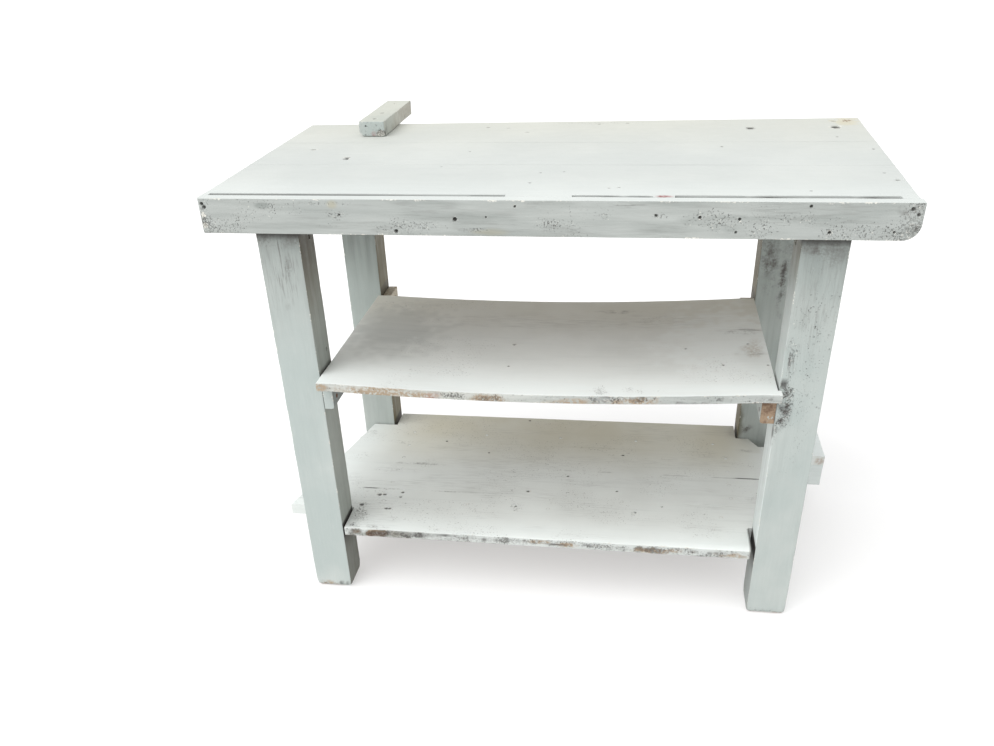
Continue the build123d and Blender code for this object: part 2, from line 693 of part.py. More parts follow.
# Leg frame
for side, x_low in (("left", LEFT_LEG_OUTER), ("right", RIGHT_LEG_INNER)):
    save(leg(x_low, FRONT_LEG_FRONT), f"leg_front_{side}")
    save(leg(x_low, BACK_LEG_FRONT), f"leg_back_{side}")
for side, rail_x in zip(("left", "right"), rail_middles()):
    save(upper_rail(rail_x), f"upper_rail_{side}")
save_group(pegs(), "upper_rail_pegs")
save_group(top_screws(), "top_screws")

# Middle shelf
left_cleat_inner = LEFT_LEG_INNER + LEFT_CLEAT_THICKNESS
right_cleat_inner = RIGHT_LEG_INNER - RIGHT_CLEAT_THICKNESS
save(cleat(LEFT_LEG_INNER, left_cleat_inner, BACK_LEG_BACK, LEFT_CLEAT_HEIGHT), "shelf_cleat_left")
save(cleat(right_cleat_inner, RIGHT_LEG_INNER, RIGHT_CLEAT_BACK, RIGHT_CLEAT_HEIGHT), "shelf_cleat_right")
save_group(cleat_screws(), "cleat_screws")
save(middle_shelf(), "middle_shelf")

# Lower shelf
front_rail = (LEFT_LEG_OUTER, RIGHT_LEG_OUTER, FRONT_LEG_BACK, FRONT_RAIL_BACK)
rear_rail = (REAR_RAIL_LEFT, REAR_BOARD_RIGHT, REAR_RAIL_FRONT, BACK_LEG_FRONT)
save(lower_rail(*front_rail, FRONT_RAIL_HEIGHT), "lower_rail_front")
save(lower_rail(*rear_rail, REAR_RAIL_HEIGHT), "lower_rail_rear")
save_group(coach_screws() + coach_washers(), "lower_rail_bolts")
for side, middle in zip(("left", "right"), bearer_middles()):
    save(lower_bearer(middle), f"lower_bearer_{side}")
save_group(bearer_screws(), "bearer_screws")
front_edges, second_edges, third_edges, rear_edges = board_edges()
save(lower_board(front_board_outline(*front_edges)), "lower_board_front")
save(lower_board(inner_board_outline(*second_edges)), "lower_board_second")
save(lower_board(inner_board_outline(*third_edges)), "lower_board_third")
save(lower_board(rear_board_outline(*rear_edges)), "lower_board_rear")
save_group(nails(), "lower_board_nails")
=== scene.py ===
import math
import bpy
import numpy as np
from mathutils import Matrix, Vector


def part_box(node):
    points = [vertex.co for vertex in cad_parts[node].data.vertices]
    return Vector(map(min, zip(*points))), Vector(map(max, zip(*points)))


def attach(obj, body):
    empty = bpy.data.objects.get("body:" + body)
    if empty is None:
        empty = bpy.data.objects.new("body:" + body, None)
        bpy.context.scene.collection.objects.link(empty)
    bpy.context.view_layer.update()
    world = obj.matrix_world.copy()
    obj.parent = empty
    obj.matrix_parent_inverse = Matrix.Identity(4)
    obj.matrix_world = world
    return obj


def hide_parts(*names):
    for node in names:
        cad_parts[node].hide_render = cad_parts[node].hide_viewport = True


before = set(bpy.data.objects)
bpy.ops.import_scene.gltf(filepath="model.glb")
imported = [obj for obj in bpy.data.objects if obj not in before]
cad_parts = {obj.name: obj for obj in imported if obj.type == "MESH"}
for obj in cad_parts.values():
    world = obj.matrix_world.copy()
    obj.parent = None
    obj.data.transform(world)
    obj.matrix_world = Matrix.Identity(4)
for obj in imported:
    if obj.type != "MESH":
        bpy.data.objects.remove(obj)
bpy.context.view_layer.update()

# Lengths are in metres but where a table says millimetres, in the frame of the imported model:
# X to the right, Y to the back, Z up.
MILLIMETRE = 0.001
DECIMALS = 7

# Photograph and camera
PHOTO_WIDTH_PIXELS = 994
PHOTO_HEIGHT_PIXELS = 746
FOCAL_PIXELS = 905.319
CENTRE_X_PIXEL = 501.439
CENTRE_Y_PIXEL = 506.944
CAMERA_PLACE = Vector((0.14442, -1.89429, 1.25654))
CAMERA_YAW = 0.159
CAMERA_PITCH = 0.578
CAMERA_ROLL = -0.036
SENSOR_WIDTH_MM = 36

# Light and floor
SUN_STRENGTH = 2.2
SUN_SPREAD_DEGREES = 55
SUN_ELEVATION_DEGREES = 52
SUN_TURN_DEGREES = -42
WORLD_STRENGTH = 0.98
# The floor glows: painted light that lifts the shade on the floor under the bench and lights the bench from
# below
FLOOR_GLOW = 0.8
FLOOR_SIZE = 60
FLOOR_SINK = 0.0005
FLOOR_CLOUD_SCALE = 3.0

# Worktop
END_ROUNDING = 0.027
CORNER_CHAMFER = 0.005
RIGHT_END_SKEW = 0.024
RIGHT_END_STRIP = 0.080
BACK_EDGE_SKEW = 0.050
BACK_EDGE_STRIP = 0.170
GROOVE_DEPTH = 0.008
GROOVE_EDGE = 0.0008
GROOVE_FIRST_LINE = -0.3745
GROOVE_LINE_STEP = 0.001
GROOVE_LINE_COUNT = 30
BLOCK_CHAMFER = 0.009

# Legs and cleats
PEG_HOLE_HEIGHT = 0.775
PEG_HOLE_INSET = 0.024
PEG_HOLE_RADIUS = 0.005
PEG_HOLE_DEPTH = 0.006
FOOT_ROUNDING = 0.009
FOOT_WEAR_HEIGHT = 0.030
CLEAT_CHAMFER = 0.006
CLEAT_BARE_START = 0.10

# Middle shelf
SHELF_SAG = 0.012
SHELF_BEARING = 0.030
SHELF_SIDE_GAP = 0.002
SHELF_EAR_GAP = 0.001
SHELF_FRONT_SKEW = 0.016
SHELF_BACK_SKEW = 0.030
SHELF_BACK_STRIP = 0.090

# Lower shelf
LEFT_END_FRONT_OVERRUN = 0.065
LEFT_END_BACK_UNDERRUN = 0.027
NOTCH_GAP = 0.002
FRONT_RIGHT_NOTCH_GAP = 0.006
BACK_LEFT_NOTCH_GAP = 0.007
BACK_RIGHT_NOTCH_GAP = 0.004
BACK_RIGHT_OUTER_GAP = 0.009
BROKEN_CORNER_WIDTH = 0.020
BROKEN_CORNER_DEPTH = 0.039
SOUND_NOTCH_EDGE = 0.030
DECK_WANE_TOP = 0.0045
DECK_WANE_UNDER = 0.006
DECK_WANE_DEPTH = 0.016
SEAM_FILL = 0.001
SHELTER_SPREAD_LEFT = 0.12
SHELTER_SPREAD_RIGHT = 0.06
NAIL_DENT_RADIUS = 0.0038
NAIL_DENT_DEPTH = 0.0012
NAIL_SPREAD = 0.01

# Each kind of timber: steps of its lattice, arris radius, and depth and cells of its uneven faces
TIMBERS = {
    "lipping": ((0.003, 0.003, 0.0026), 0.0009, 0.0005, (0.25, 0.09, 0.09)),
    "plank": ((0.008, 0.008, 0.008), 0.0018, 0.0005, (0.25, 0.09, 0.09)),
    "block": ((0.003, 0.004, 0.003), 0.0022, 0.0006, (0.03, 0.08, 0.03)),
    "leg": ((0.005, 0.005, 0.006), 0.0026, 0.0007, (0.06, 0.06, 0.30)),
    "upper rail": ((0.006, 0.008, 0.006), 0.0018, 0.0005, (0.05, 0.2, 0.05)),
    "cleat": ((0.003, 0.006, 0.003), 0.0012, 0.0005, (0.03, 0.1, 0.03)),
    "shelf": ((0.005, 0.006, 0.0022), 0.0014, 0.0004, (0.2, 0.1, 0.02)),
    "deck edge": ((0.004, 0.005, 0.0026), 0.0018, 0.0006, (0.25, 0.06, 0.05)),
    "deck": ((0.006, 0.006, 0.005), 0.0018, 0.0006, (0.25, 0.06, 0.05)),
    "lower rail": ((0.008, 0.006, 0.006), 0.002, 0.0006, (0.2, 0.05, 0.05)),
    "bearer": ((0.006, 0.008, 0.006), 0.002, 0.0006, (0.05, 0.2, 0.05)),
}

# Marks over whole faces or all of them: strength, what is added to it, where that starts and ends, and axis
# The paler coats towards the front of the shelf and of the deck edge are painted light; the greyer coat at
# the back of the shelf and the brownish coats on the upper rails' sides are painted shade.
TOP_COATS = {
    "bare under": (0.75,),
    "warm top": (0, 0.32, -0.15, 0.35, "y"),
    "pale top": (0.04, 0.20, -0.20, -0.37, "y"),
}
COATS = {
    "lipping": TOP_COATS,
    "plank": TOP_COATS,
    "block": {
        "warm right": (0.4,), "grime right": (0.2,), "pits front": (0.3,), "grime back": (0.9,),
        "warm top": (0.35,),
    },
    "leg": {"grime under": (0.8,), "bare under": (0.8,)},
    "upper rail": {"bare under": (0.75,), "olive left": (0.6,), "olive right": (0.6,)},
    "cleat": {
        "bare under": (0.55,), "bare back": (0.6,),
        "warm all": (0, 1, CLEAT_BARE_START, 0.14, "y"),
        "tan all": (0, 0.8, CLEAT_BARE_START, 0.14, "y"),
    },
    "shelf": {
        "bare under": (0.7,), "pits front": (0.35,), "pits back": (0.7,), "dull back": (0.3,),
        "pits left": (0.7,),
        "warm all": (0, 0.6, -0.15, 0.1, "y"),
        "warm front": (0, 0.25, 0.10, -0.10, "x"),
        "dull front": (0.62, -0.24, 0.10, -0.10, "x"),
        "pale top": (0.14, 0.42, -0.22, -0.36, "y"),
    },
    "deck edge": {"bare under": (0.75,), "dull front": (0.30,), "pale top": (0, 0.35, -0.26, -0.345, "y")},
    "deck": {"bare under": (0.75,)},
    "lower rail": {"bare under": (0.7,)},
    "bearer": {"bare under": (0.8,), "bare left": (0.8,), "bare right": (0.8,)},
}

# Round holes and dents by node and face, in millimetres: place, radius and depth
PITS = {
    "top_lipping": {"front": (
        (-603, 856, 3, 5), (-600, 850, 3.4, 5), (-159, 833, 3.6, 6), (-262, 812.5, 3.4, 5),
        (-359, 839, 2.4, 3), (174, 842, 2.6, 3), (244, 839.6, 2.6, 4), (307, 837, 2.6, 4),
        (415, 858.2, 2.6, 4), (449, 817.6, 2.6, 5), (303, 816.1, 2.2, 3), (-57, 855.1, 2.2, 3),
        (-106, 837, 1.6, 3), (570, 855, 3.4, 3), (580, 846.5, 3.4, 3), (548, 818.7, 2.2, 2),
    )},
    "top_plank_front": {"top": (
        (578, -241, 4.8, 3), (565, -192, 3.1, 2), (-226, -150, 2.5, 2), (-34, -196, 2.8, 2),
        (8, -188, 2.5, 2), (-45, -269, 2.8, 2), (94, -304, 2.8, 2), (111, -299, 2.5, 2), (424, -316, 2.8, 2),
        (180, -356.5, 4, 1), (189, -356.5, 3, 0),
    )},
    "top_plank_middle": {"top": (
        (-431, -74, 6, 4), (-431, -85, 7, 5), (-524, -1, 5.3, 3), (584, -1, 3.6, 2), (301, 20, 3.4, 1),
        (-194, -21, 3.1, 2),
    )},
    "top_plank_back": {"top": (
        (372, 203, 9.8, 4), (548, 207, 10.9, 4), (372, 215, 9, 4), (548, 220, 9, 4), (553, 277, 7, 4),
        (534, 111, 3.1, 1), (-194, 243, 5, 2), (-147, 230, 3.9, 2), (-100, 174, 4.5, 3), (112, 280, 4.8, 2),
        (50, 270, 4.2, 2),
    )},
    "stop_block": {
        "front": ((-446, 886, 2, 3),),
        "top": ((-433, 157, 5, 1.9), (-433, 225, 5, 1.9), (-433, 345, 2.8, 10)),
    },
    "leg_front_left": {"right": ((-291, 551, 4, 5),)},
    "middle_shelf": {"top": (
        (-96, -148, 3.6, 3), (-94, -256, 2.6, 2), (254, -157, 2.6, 2), (377, -138, 2.6, 2),
        (323, -239, 2.8, 2), (406, -240, 2.8, 2),
    )},
    "lower_board_front": {"top": (
        (-404.3, -211.4, 5, 4), (-392.9, -210.3, 4.4, 4), (-353.7, -198.2, 4.4, 4), (-353.8, -217.4, 3.8, 4),
        (-375.5, -266.8, 4.4, 3), (-368, -266.8, 4.4, 3), (-434.3, -256.2, 5.6, 3), (171.4, -231.9, 3.6, 3),
        (-89.4, -232.2, 2.8, 2), (229.6, -204.5, 2.6, 3),
    )},
    "lower_board_second": {"top": (
        (-70.1, -167.9, 3.8, 3), (129.8, -149.6, 3.2, 3), (14.9, -94.4, 3.4, 2),
    )},
    "lower_board_third": {"top": ((138.7, 14.5, 3.6, 3), (-185, -1.4, 3, 2), (-298.5, 46.7, 3.4, 2))},
    "lower_board_rear": {"top": ((-104.2, 172.6, 3.4, 2),)},
}

# Soft-edged marks by node, kind and face: place and half sizes in millimetres, and strength
# Some of them are painted shade, in part or whole: the dark marks on the deck's front edge, on the right
# front leg's inner face and on the back right leg; the paler patch on the middle shelf is painted light.
PATCHES = {
    "top_lipping": {
        "pits front": (
            (-360, 838, 24, 8, 1), (-235, 822, 60, 8, 0.9), (-130, 815, 24, 5, 1.2), (-540, 833, 16, 6, 0.7),
            (-480, 852, 28, 6, 0.7), (-385, 858, 50, 3, 0.9), (0, 826, 22, 12, 1), (90, 840, 12, 8, 1),
            (180, 841, 14, 5, 1), (270, 836, 40, 16, 0.7), (345, 828, 12, 14, 0.8), (400, 838, 30, 10, 0.7),
            (-590, 816, 26, 5, 1.2),
        ),
        "wear front": ((-604, 838, 5, 6, 1.1), (-604, 817, 5, 6, 1.1)),
        "grime front": ((571, 850, 18, 12, 1.4), (575, 822, 14, 14, 1.4)),
        "dull front": ((290, 832, 110, 18, 0.62), (-496, 853, 18, 8, 0.7)),
        "streak front": ((125, 858, 22, 3, 1.4),),
        "warm front": ((-370, 856, 7, 6, 1), (-105, 812, 30, 5, 0.8)),
    },
    "top_plank_front": {"red top": ((186.5, -357, 13, 7, 1),)},
    "top_plank_back": {
        "warm top": ((575, 270, 30, 50, 1),),
        "bare top": ((583, 278, 18, 20, 0.62),),
        "pits top": ((50, 285, 100, 14, 0.5),),
    },
    "stop_block": {
        "olive right": ((360, 882, 110, 30, 0.22),),
        "tan right": ((350, 882, 120, 30, 0.3),),
        "hole right": ((383, 890, 6, 6, 0.8), (315, 872, 5, 3, 0.7), (129, 871, 6, 6, 1.1)),
        "grime right": ((140, 875, 16, 10, 1),),
        "wear front": ((-413, 872, 13, 10, 1.2),),
        "pits front": ((-414, 874, 14, 11, 2),),
        "hole front": ((-418, 877, 2, 3, 1), (-422, 887, 2, 2, 0.6), (-448, 868, 2, 2, 0.8)),
        "red front": ((-430, 870, 6, 6, 0.55),),
    },
    "leg_front_left": {
        "streak front": ((-488, 765, 8, 20, 1), (-488, 720, 26, 50, 0.7)),
        "grime front": ((-516, 784, 12, 12, 1.2), (-479, 735, 6, 18, 0.8)),
        "hole front": ((-473.6, 10, 5, 6, 0.8), (-461.5, 9, 4, 5, 0.7)),
        "tan front": ((-500, 6, 16, 6, 1.2),),
    },
    "leg_front_right": {
        "streak front": ((455, 680, 35, 90, 0.35), (427, 590, 10, 40, 1.3)),
        "grime front": (
            (446, 778, 12, 18, 1), (470, 770, 20, 20, 0.6), (424, 490, 14, 34, 1.8), (418, 425, 5, 16, 1.2),
        ),
        "dull front": ((436, 660, 18, 60, 0.45),),
        "pits front": (
            (428, 498, 16, 45, 1.4), (460, 560, 40, 160, 0.2), (427, 590, 10, 40, 1),
            (435, 650, 12, 50, 0.25),
        ),
        "hole front": ((421, 535, 5, 10, 1), (423, 484, 9, 6, 1)),
        "hole left": ((-345, 433, 10, 20, 0.8),),
    },
    "leg_back_right": {
        "grime front": ((470, 560, 8, 60, 1.8), (436, 620, 20, 60, 1.2), (428, 192, 14, 9, 1.5)),
        "hole front": ((470, 580, 4, 26, 0.6), (468, 527, 3, 14, 0.6)),
        "olive front": ((416, 200, 8, 50, 0.9),),
    },
    "middle_shelf": {
        "tan front": (
            (-440, 513, 16, 8, 1.2), (-325, 510, 75, 12, 1.2), (-255, 508, 45, 10, 1),
            (-117, 507, 34, 12, 1.4), (40, 506, 40, 8, 1), (120, 506, 26, 8, 0.9), (165, 510, 30, 10, 1.3),
        ),
        "olive front": ((-436, 510, 20, 6, 0.5),),
        "red front": ((-222, 506, 14, 10, 0.35),),
        "pits front": (
            (-180, 512, 30, 10, 1.6), (-110, 508, 34, 12, 1.8), (100, 514, 30, 8, 2), (160, 514, 30, 8, 2),
            (312, 514, 12, 6, 1.6),
        ),
        "grime front": ((225, 506, 20, 6, 0.8), (280, 504, 30, 5, 0.7), (395, 510, 16, 8, 0.8)),
        "tan top": ((386, -165, 18, 40, 0.4),),
        "grime top": ((372, -78, 28, 10, 0.8), (116, 50, 40, 10, 0.6)),
        "streak top": (
            (386, -66, 60, 12, 0.8), (116, 54, 50, 12, 0.7), (385, -185, 30, 10, 0.6),
            (-50, -20, 200, 40, 0.25), (200, -10, 150, 40, 0.25),
        ),
        "pits top": ((92, -358, 13, 20, 1.5), (142, -348, 10, 12, 1.2), (165, -356, 10, 12, 1.2)),
        "pale top": ((340, -140, 140, 220, 0.55),),
        "dull top": ((-360, -100, 100, 140, 0.3),),
        "olive top": ((380, -200, 30, 50, 0.2),),
    },
    "lower_board_front": {
        "hole top": ((-434, -185.2, 14, 3, 1.3),),
        "grime top": ((-380, -186, 40, 4, 1), (-260, -186, 80, 3, 0.6), (-400, -340, 40, 4, 1)),
        "pits top": ((-428, -300, 16, 50, 1.3), (-90, -235, 14, 20, 0.8)),
        "tan front": (
            (-425, 153, 16, 8, 0.8), (-22, 154, 26, 5, 1.1), (30, 150, 34, 7, 1.2), (215, 149, 50, 8, 1.2),
            (372, 147, 30, 7, 0.8),
        ),
        "hole front": (
            (-424, 153, 20, 10, 0.55), (-372, 151, 46, 10, 0.75), (-310, 152, 50, 8, 0.6),
            (-232, 157, 18, 5, 0.7), (-143, 151, 6, 5, 0.8), (-117, 151, 5, 5, 0.8), (-92, 150, 5, 4, 0.8),
            (10, 149, 24, 4, 0.9), (325, 150, 5, 5, 0.6), (340, 151, 4, 4, 0.6),
        ),
        "pits front": (
            (-424, 153, 22, 10, 2.2), (-345, 152, 80, 12, 2.6), (-100, 151, 90, 10, 1.8),
            (100, 152, 60, 10, 1.8), (215, 151, 60, 10, 2),
        ),
        "olive front": ((-372, 152, 50, 14, 1),),
        "bare front": ((-378, 152, 40, 12, 1.2),),
        "grime front": (
            (-300, 152, 70, 9, 1.2), (-215, 153, 40, 8, 1.3), (285, 150, 14, 6, 1.2), (372, 147, 30, 7, 1.2),
        ),
    },
    "lower_board_third": {
        "grime top": (
            (-340, -70.5, 60, 5, 0.9), (0, -71.5, 20, 3, 0.8), (95, -71.5, 20, 3, 0.8),
            (-395, 35, 35, 8, 1.1), (379, 26, 8, 6, 0.8),
        ),
        "hole top": ((265, -71.8, 30, 2, 0.5), (370, -71.8, 30, 2, 0.6), (425, -71.8, 50, 3, 1.2)),
    },
    "lower_board_rear": {
        "grime top": ((420, 60, 10, 8, 0.8), (-498, 72, 14, 14, 0.7)),
        "bare right": ((90, 150, 60, 20, 0.8),),
        "tan front": ((601, 150, 12, 9, 0.6),),
        "red front": ((603, 148, 10, 6, 0.15),),
    },
}

# The stopped grooves along the front edge: start, end, width and how much wider the end is
GROOVES = (
    ((-0.5995, -0.3565), (-0.0775, -0.3568), 0.0120, 0),
    ((0.0355, -0.3565), (0.1676, -0.3575), 0.0095, 0),
    ((0.2038, -0.3555), (0.5625, -0.3548), 0.0120, 0.003),
)
GROOVE_LINES_X = [
    place[0] + shift
    for groove in GROOVES
    for place in groove[:2]
    for shift in (-GROOVE_EDGE, GROOVE_EDGE)
]
GROOVE_LINES_Y = [GROOVE_FIRST_LINE + GROOVE_LINE_STEP * line for line in range(GROOVE_LINE_COUNT)]

# Each face: its axis, its outward sign and the two axes that lie in it
FACES = {
    "top": (2, 1, 0, 1),
    "under": (2, -1, 0, 1),
    "front": (1, -1, 0, 2),
    "back": (1, 1, 0, 2),
    "left": (0, -1, 1, 2),
    "right": (0, 1, 1, 2),
}
AXES = "xyz"
# Several marks also carry painted shade besides dirt, dark holes, stains and greyer paint, and one carries
# painted light besides paler paint.
KINDS = "edge wear grime bare pits hole warm olive dull pale streak tan red".split()
NO_LINES = ((), (), ())
ANYWHERE = 1e3

# The lattice: how closely its planes lie, and what counts as on a face and as sharp
ARRIS_SHARES = (0, 0.3, 0.75, 1.3)
PIT_SHARES = (-1.7, -1.1, -0.7, -0.3, 0.3, 0.7, 1.1, 1.7)
END_GAP_SHARE = 0.2
EVEN_GAP_SHARE = 0.35
FINE_GAP = 0.4 * MILLIMETRE
ON_FACE = 1e-6
SHARP_DEGREES = 50

# Wear of arrises, pits and patches
EDGE_REACH = 0.007
TIGHT_EDGE_SHARE = 0.25
TIGHT_ARRIS = 0.4 * MILLIMETRE
LONG_WEAR_CELL = 0.035
SHORT_WEAR_CELL = 0.009
RAGGED_CELL = 0.004
PATCH_CELL = 0.014
PATCH_SPREAD = 1.3
PATCH_CORE = 1.6
PIT_RIM_SHARE = 1.6
RIM_WEAR = 0.7

NOISE_TABLE_SIZE = 64
NOISE_SEED = 11

noise_table = np.random.RandomState(NOISE_SEED).rand(NOISE_TABLE_SIZE, NOISE_TABLE_SIZE, NOISE_TABLE_SIZE)


def noise(points, cell):
    """Smooth noise from 0 to 1, with cells of the given lengths."""
    scaled = points / np.asarray(cell, float)
    base = np.floor(scaled).astype(int)
    part = scaled - base
    part = part * part * (3 - 2 * part)
    total = 0
    for corner in np.ndindex(2, 2, 2):
        index = (base + corner) % NOISE_TABLE_SIZE
        weight = np.prod(np.where(corner, part, 1 - part), axis=1)
        total = total + weight * noise_table[tuple(index.T)]
    return total


def ramp(start, end, value):
    """0 at the start, 1 at the end and smooth between them. The start may be the higher one."""
    share = np.clip((value - start) / (end - start), 0, 1)
    return share * share * (3 - 2 * share)


def add_lines(kept, wanted, gap):
    """The wanted places that keep the gap from the kept ones are added to them."""
    for place in wanted:
        if all(abs(place - other) > gap for other in kept):
            kept.append(place)


def grid_lines(low, high, step, arris, exact, fine):
    """Places of the lattice planes along one axis, closer near the arrises and at small details."""
    kept = [low, high] + [place for place in exact if low < place < high]
    ends = [low + arris * share for share in ARRIS_SHARES] + [high - arris * share for share in ARRIS_SHARES]
    add_lines(kept, ends, arris * END_GAP_SHARE)
    add_lines(kept, [place for place in fine if low < place < high], FINE_GAP)
    even = np.linspace(low, high, max(2, round((high - low) / step)) + 1)
    add_lines(kept, even, step * EVEN_GAP_SHARE)
    return np.array(sorted(kept))


def lattice_surface(lines, solid):
    """The points and outward quads round the solid cells of a lattice, and each point's normal."""
    counts = [len(line) for line in lines]
    filled = np.pad(solid, 1).astype(int)
    quads = []
    facing = []
    for axis in range(3):
        sideways = [(axis + 1) % 3, (axis + 2) % 3]
        cut = [slice(1, -1)] * 3
        cut[axis] = slice(None)
        change = np.diff(filled, axis=axis)[tuple(cut)]
        for sign, order in ((1, (0, 3, 2, 1)), (-1, (0, 1, 2, 3))):
            places = np.argwhere(change == sign)
            corners = []
            for shift in ((0, 0), (1, 0), (1, 1), (0, 1)):
                corner = places.copy()
                corner[:, sideways] += shift
                corners.append(np.ravel_multi_index(corner.T, counts))
            quads.append(np.stack(corners, axis=1)[:, order])
            facing.append(np.tile(-sign * np.eye(3)[axis], (len(places), 1)))
    used, flat = np.unique(np.concatenate(quads), return_inverse=True)
    faces = flat.reshape(-1, 4)
    index = np.unravel_index(used, counts)
    points = np.stack([lines[axis][index[axis]] for axis in range(3)], axis=1)
    normals = np.zeros_like(points)
    face_normals = np.concatenate(facing)
    for corner in range(4):
        np.add.at(normals, faces[:, corner], face_normals)
    normals = np.sign(np.round(normals, 3))
    length = np.linalg.norm(normals, axis=1, keepdims=True)
    return points, faces, normals / np.maximum(length, 1)


def soften(points, low, high, radius, power=2):
    """Square arrises of a box become quarter rounds, or chamfers with power 1."""
    inner = np.clip(points, low + radius, high - radius)
    offset = points - inner
    length = (np.abs(offset) ** power).sum(axis=1) ** (1 / power)
    reach = np.abs(offset).max(axis=1)
    scale = np.where(length > 0, reach / np.maximum(length, 1e-9), 1)
    return inner + offset * scale[:, None]


def metres(lengths):
    """Lengths of a table in millimetres, rounded so that none is off in its last digit."""
    return [round(length * MILLIMETRE, DECIMALS) for length in lengths]


def pits_of(node):
    return [(face, *metres(row)) for face, rows in PITS.get(node, {}).items() for row in rows]


class Timber:
    """A piece of timber as a fine lattice surface, worn and marked step by step.

    Its tight faces lie against a neighbour, its flush ones stay flat, and its cuts are
    rectangles cut away right through: left, right, front, back.
    """

    def __init__(self, node, kind, box=None, tight=(), flush=(), exact=NO_LINES, pits=None, cuts=()):
        low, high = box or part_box(node)
        steps, arris, self.waver_depth, self.waver_cells = TIMBERS[kind]
        self.node = node
        self.low = np.array(low, float)
        self.high = np.array(high, float)
        self.flush = flush
        self.pits = pits_of(node) if pits is None else pits
        lines = self.lattice_lines(steps, arris, exact, cuts)
        x, y, z = np.meshgrid(*[(line[1:] + line[:-1]) / 2 for line in lines], indexing="ij")
        solid = np.ones(x.shape, bool)
        for left, right, front, back in cuts:
            solid &= ~((x > left) & (x < right) & (y > front) & (y < back))
        self.points, self.faces, self.normals = lattice_surface(lines, solid)
        self.rest = self.points.copy()
        self.marks = {name: np.zeros(len(self.points)) for name in KINDS}
        self.set_edge_mark(tight)
        self.wear_arrises(arris, tight)
        self.regions = {face: self.on_face(face) for face in FACES}
        self.regions["all"] = np.ones(len(self.points), bool)
        self.dress(COATS[kind])

    def lattice_lines(self, steps, arris, exact, cuts):
        """The lattice planes along the three axes: at the cuts, and closer round the pits."""
        coarseness = 1
        fine = [[], [], []]
        exact = [set(places) for places in exact]
        for left, right, front, back in cuts:
            exact[0] |= {left, right}
            exact[1] |= {front, back}
        for face, first, second, radius, depth in self.pits:
            for axis, place in zip(FACES[face][2:], (first, second)):
                fine[axis] += [place + radius * share for share in PIT_SHARES]
        return [
            grid_lines(low, high, step * coarseness, arris, *places)
            for low, high, step, *places in zip(self.low, self.high, steps, exact, fine)
        ]

    def face_distance(self):
        """Distance from each point to the six faces of the box: three low ones, three high ones."""
        return np.concatenate([self.rest - self.low, self.high - self.rest], axis=1)

    def near_faces(self, names):
        """The points near the named faces."""
        chosen = np.zeros(len(self.rest), bool)
        distance = self.face_distance()
        for face in names:
            axis, sign = FACES[face][:2]
            column = axis if sign < 0 else axis + 3
            chosen |= distance[:, column] < EDGE_REACH
        return chosen

    def set_edge_mark(self, tight):
        second = np.sort(self.face_distance(), axis=1)[:, 1]
        mark = np.exp(-((second / EDGE_REACH) ** 2))
        mark[self.near_faces(tight)] *= TIGHT_EDGE_SHARE
        self.marks["edge"] = mark

    def wear_arrises(self, arris, tight):
        """Arrises are rounded by a radius that changes along them."""
        uneven = 0.35 + 0.8 * noise(self.rest, LONG_WEAR_CELL) + 0.5 * noise(self.rest + 3, SHORT_WEAR_CELL)
        radius = arris * uneven
        radius[self.near_faces(tight)] = TIGHT_ARRIS
        radius[self.near_faces(self.flush)] = 0
        self.points = soften(self.points, self.low, self.high, radius[:, None])

    def round_corner(self, low, high, radius, power=2):
        """One or more long corners of the box are rounded or chamfered."""
        self.points = soften(self.points, np.array(low), np.array(high), radius, power)

    def round_foot(self, radius, height):
        """The arrises get rounder towards the foot, where knocks wear them."""
        share = ramp(-height, 0, self.low[2] - self.rest[:, 2])
        self.points = soften(self.points, self.low, self.high, radius * share[:, None])

    def roughen(self):
        """Planed faces are never quite flat, and then come the pits. Points only move inwards."""
        cells = np.asarray(self.waver_cells)
        amount = self.waver_depth * (noise(self.rest, cells) + 0.4 * noise(self.rest + 7, cells / 3))
        amount[self.near_faces(self.flush)] = 0
        self.points = self.points - self.normals * amount[:, None]
        ragged = 0.8 + 0.4 * noise(self.rest, RAGGED_CELL)
        for face, first, second, radius, depth in self.pits:
            axis, sign, axis_a, axis_b = FACES[face]
            across = np.hypot(self.rest[:, axis_a] - first, self.rest[:, axis_b] - second) * ragged
            share = np.where(self.on_face(face), np.clip(1 - (across / radius) ** 4, 0, 1), 0)
            self.points[:, axis] -= sign * depth * share
            # The pits are darkened: painted shade and dirt in them
            self.mark("hole", True, ramp(0.2, 0.8, share))
            rim = self.on_face(face) & (across > radius) & (across < PIT_RIM_SHARE * radius)
            self.mark("wear", rim, RIM_WEAR)

    def on_face(self, face):
        axis, sign = FACES[face][:2]
        edge = self.high[axis] if sign > 0 else self.low[axis]
        return np.abs(self.rest[:, axis] - edge) < ON_FACE

    def cloud(self, shift, cells, low, high):
        """Soft patches: 0 where the noise is under low, 1 where it is over high."""
        return ramp(low, high, noise(self.rest + shift, cells))

    def mark(self, kind, chosen, amount):
        """The chosen points get at least this much of a mark."""
        self.marks[kind] = np.maximum(self.marks[kind], np.where(chosen, amount, 0))

    def coat(self, kind, region, strength, added=0, start=0, end=1, axis="z"):
        """A whole region gets at least this much of a mark, which may grow along an axis."""
        growth = ramp(start, end, self.rest[:, AXES.index(axis)])
        self.mark(kind, self.regions[region], strength + added * growth)

    def dress(self, coats):
        for key, values in coats.items():
            self.coat(*key.split(), *values)

    def patch(self, kind, face, first, second, half_a, half_b, strength):
        """A soft-edged oval mark on one face."""
        axis, sign, axis_a, axis_b = FACES[face]
        shift = 0.5 + noise(self.rest, PATCH_CELL)
        a = (self.rest[:, axis_a] - first) / half_a
        b = (self.rest[:, axis_b] - second) / half_b
        share = np.clip(1 - np.hypot(a, b) / (PATCH_SPREAD * shift), 0, 1) * strength
        self.mark(kind, self.on_face(face), np.minimum(share * PATCH_CORE, strength))

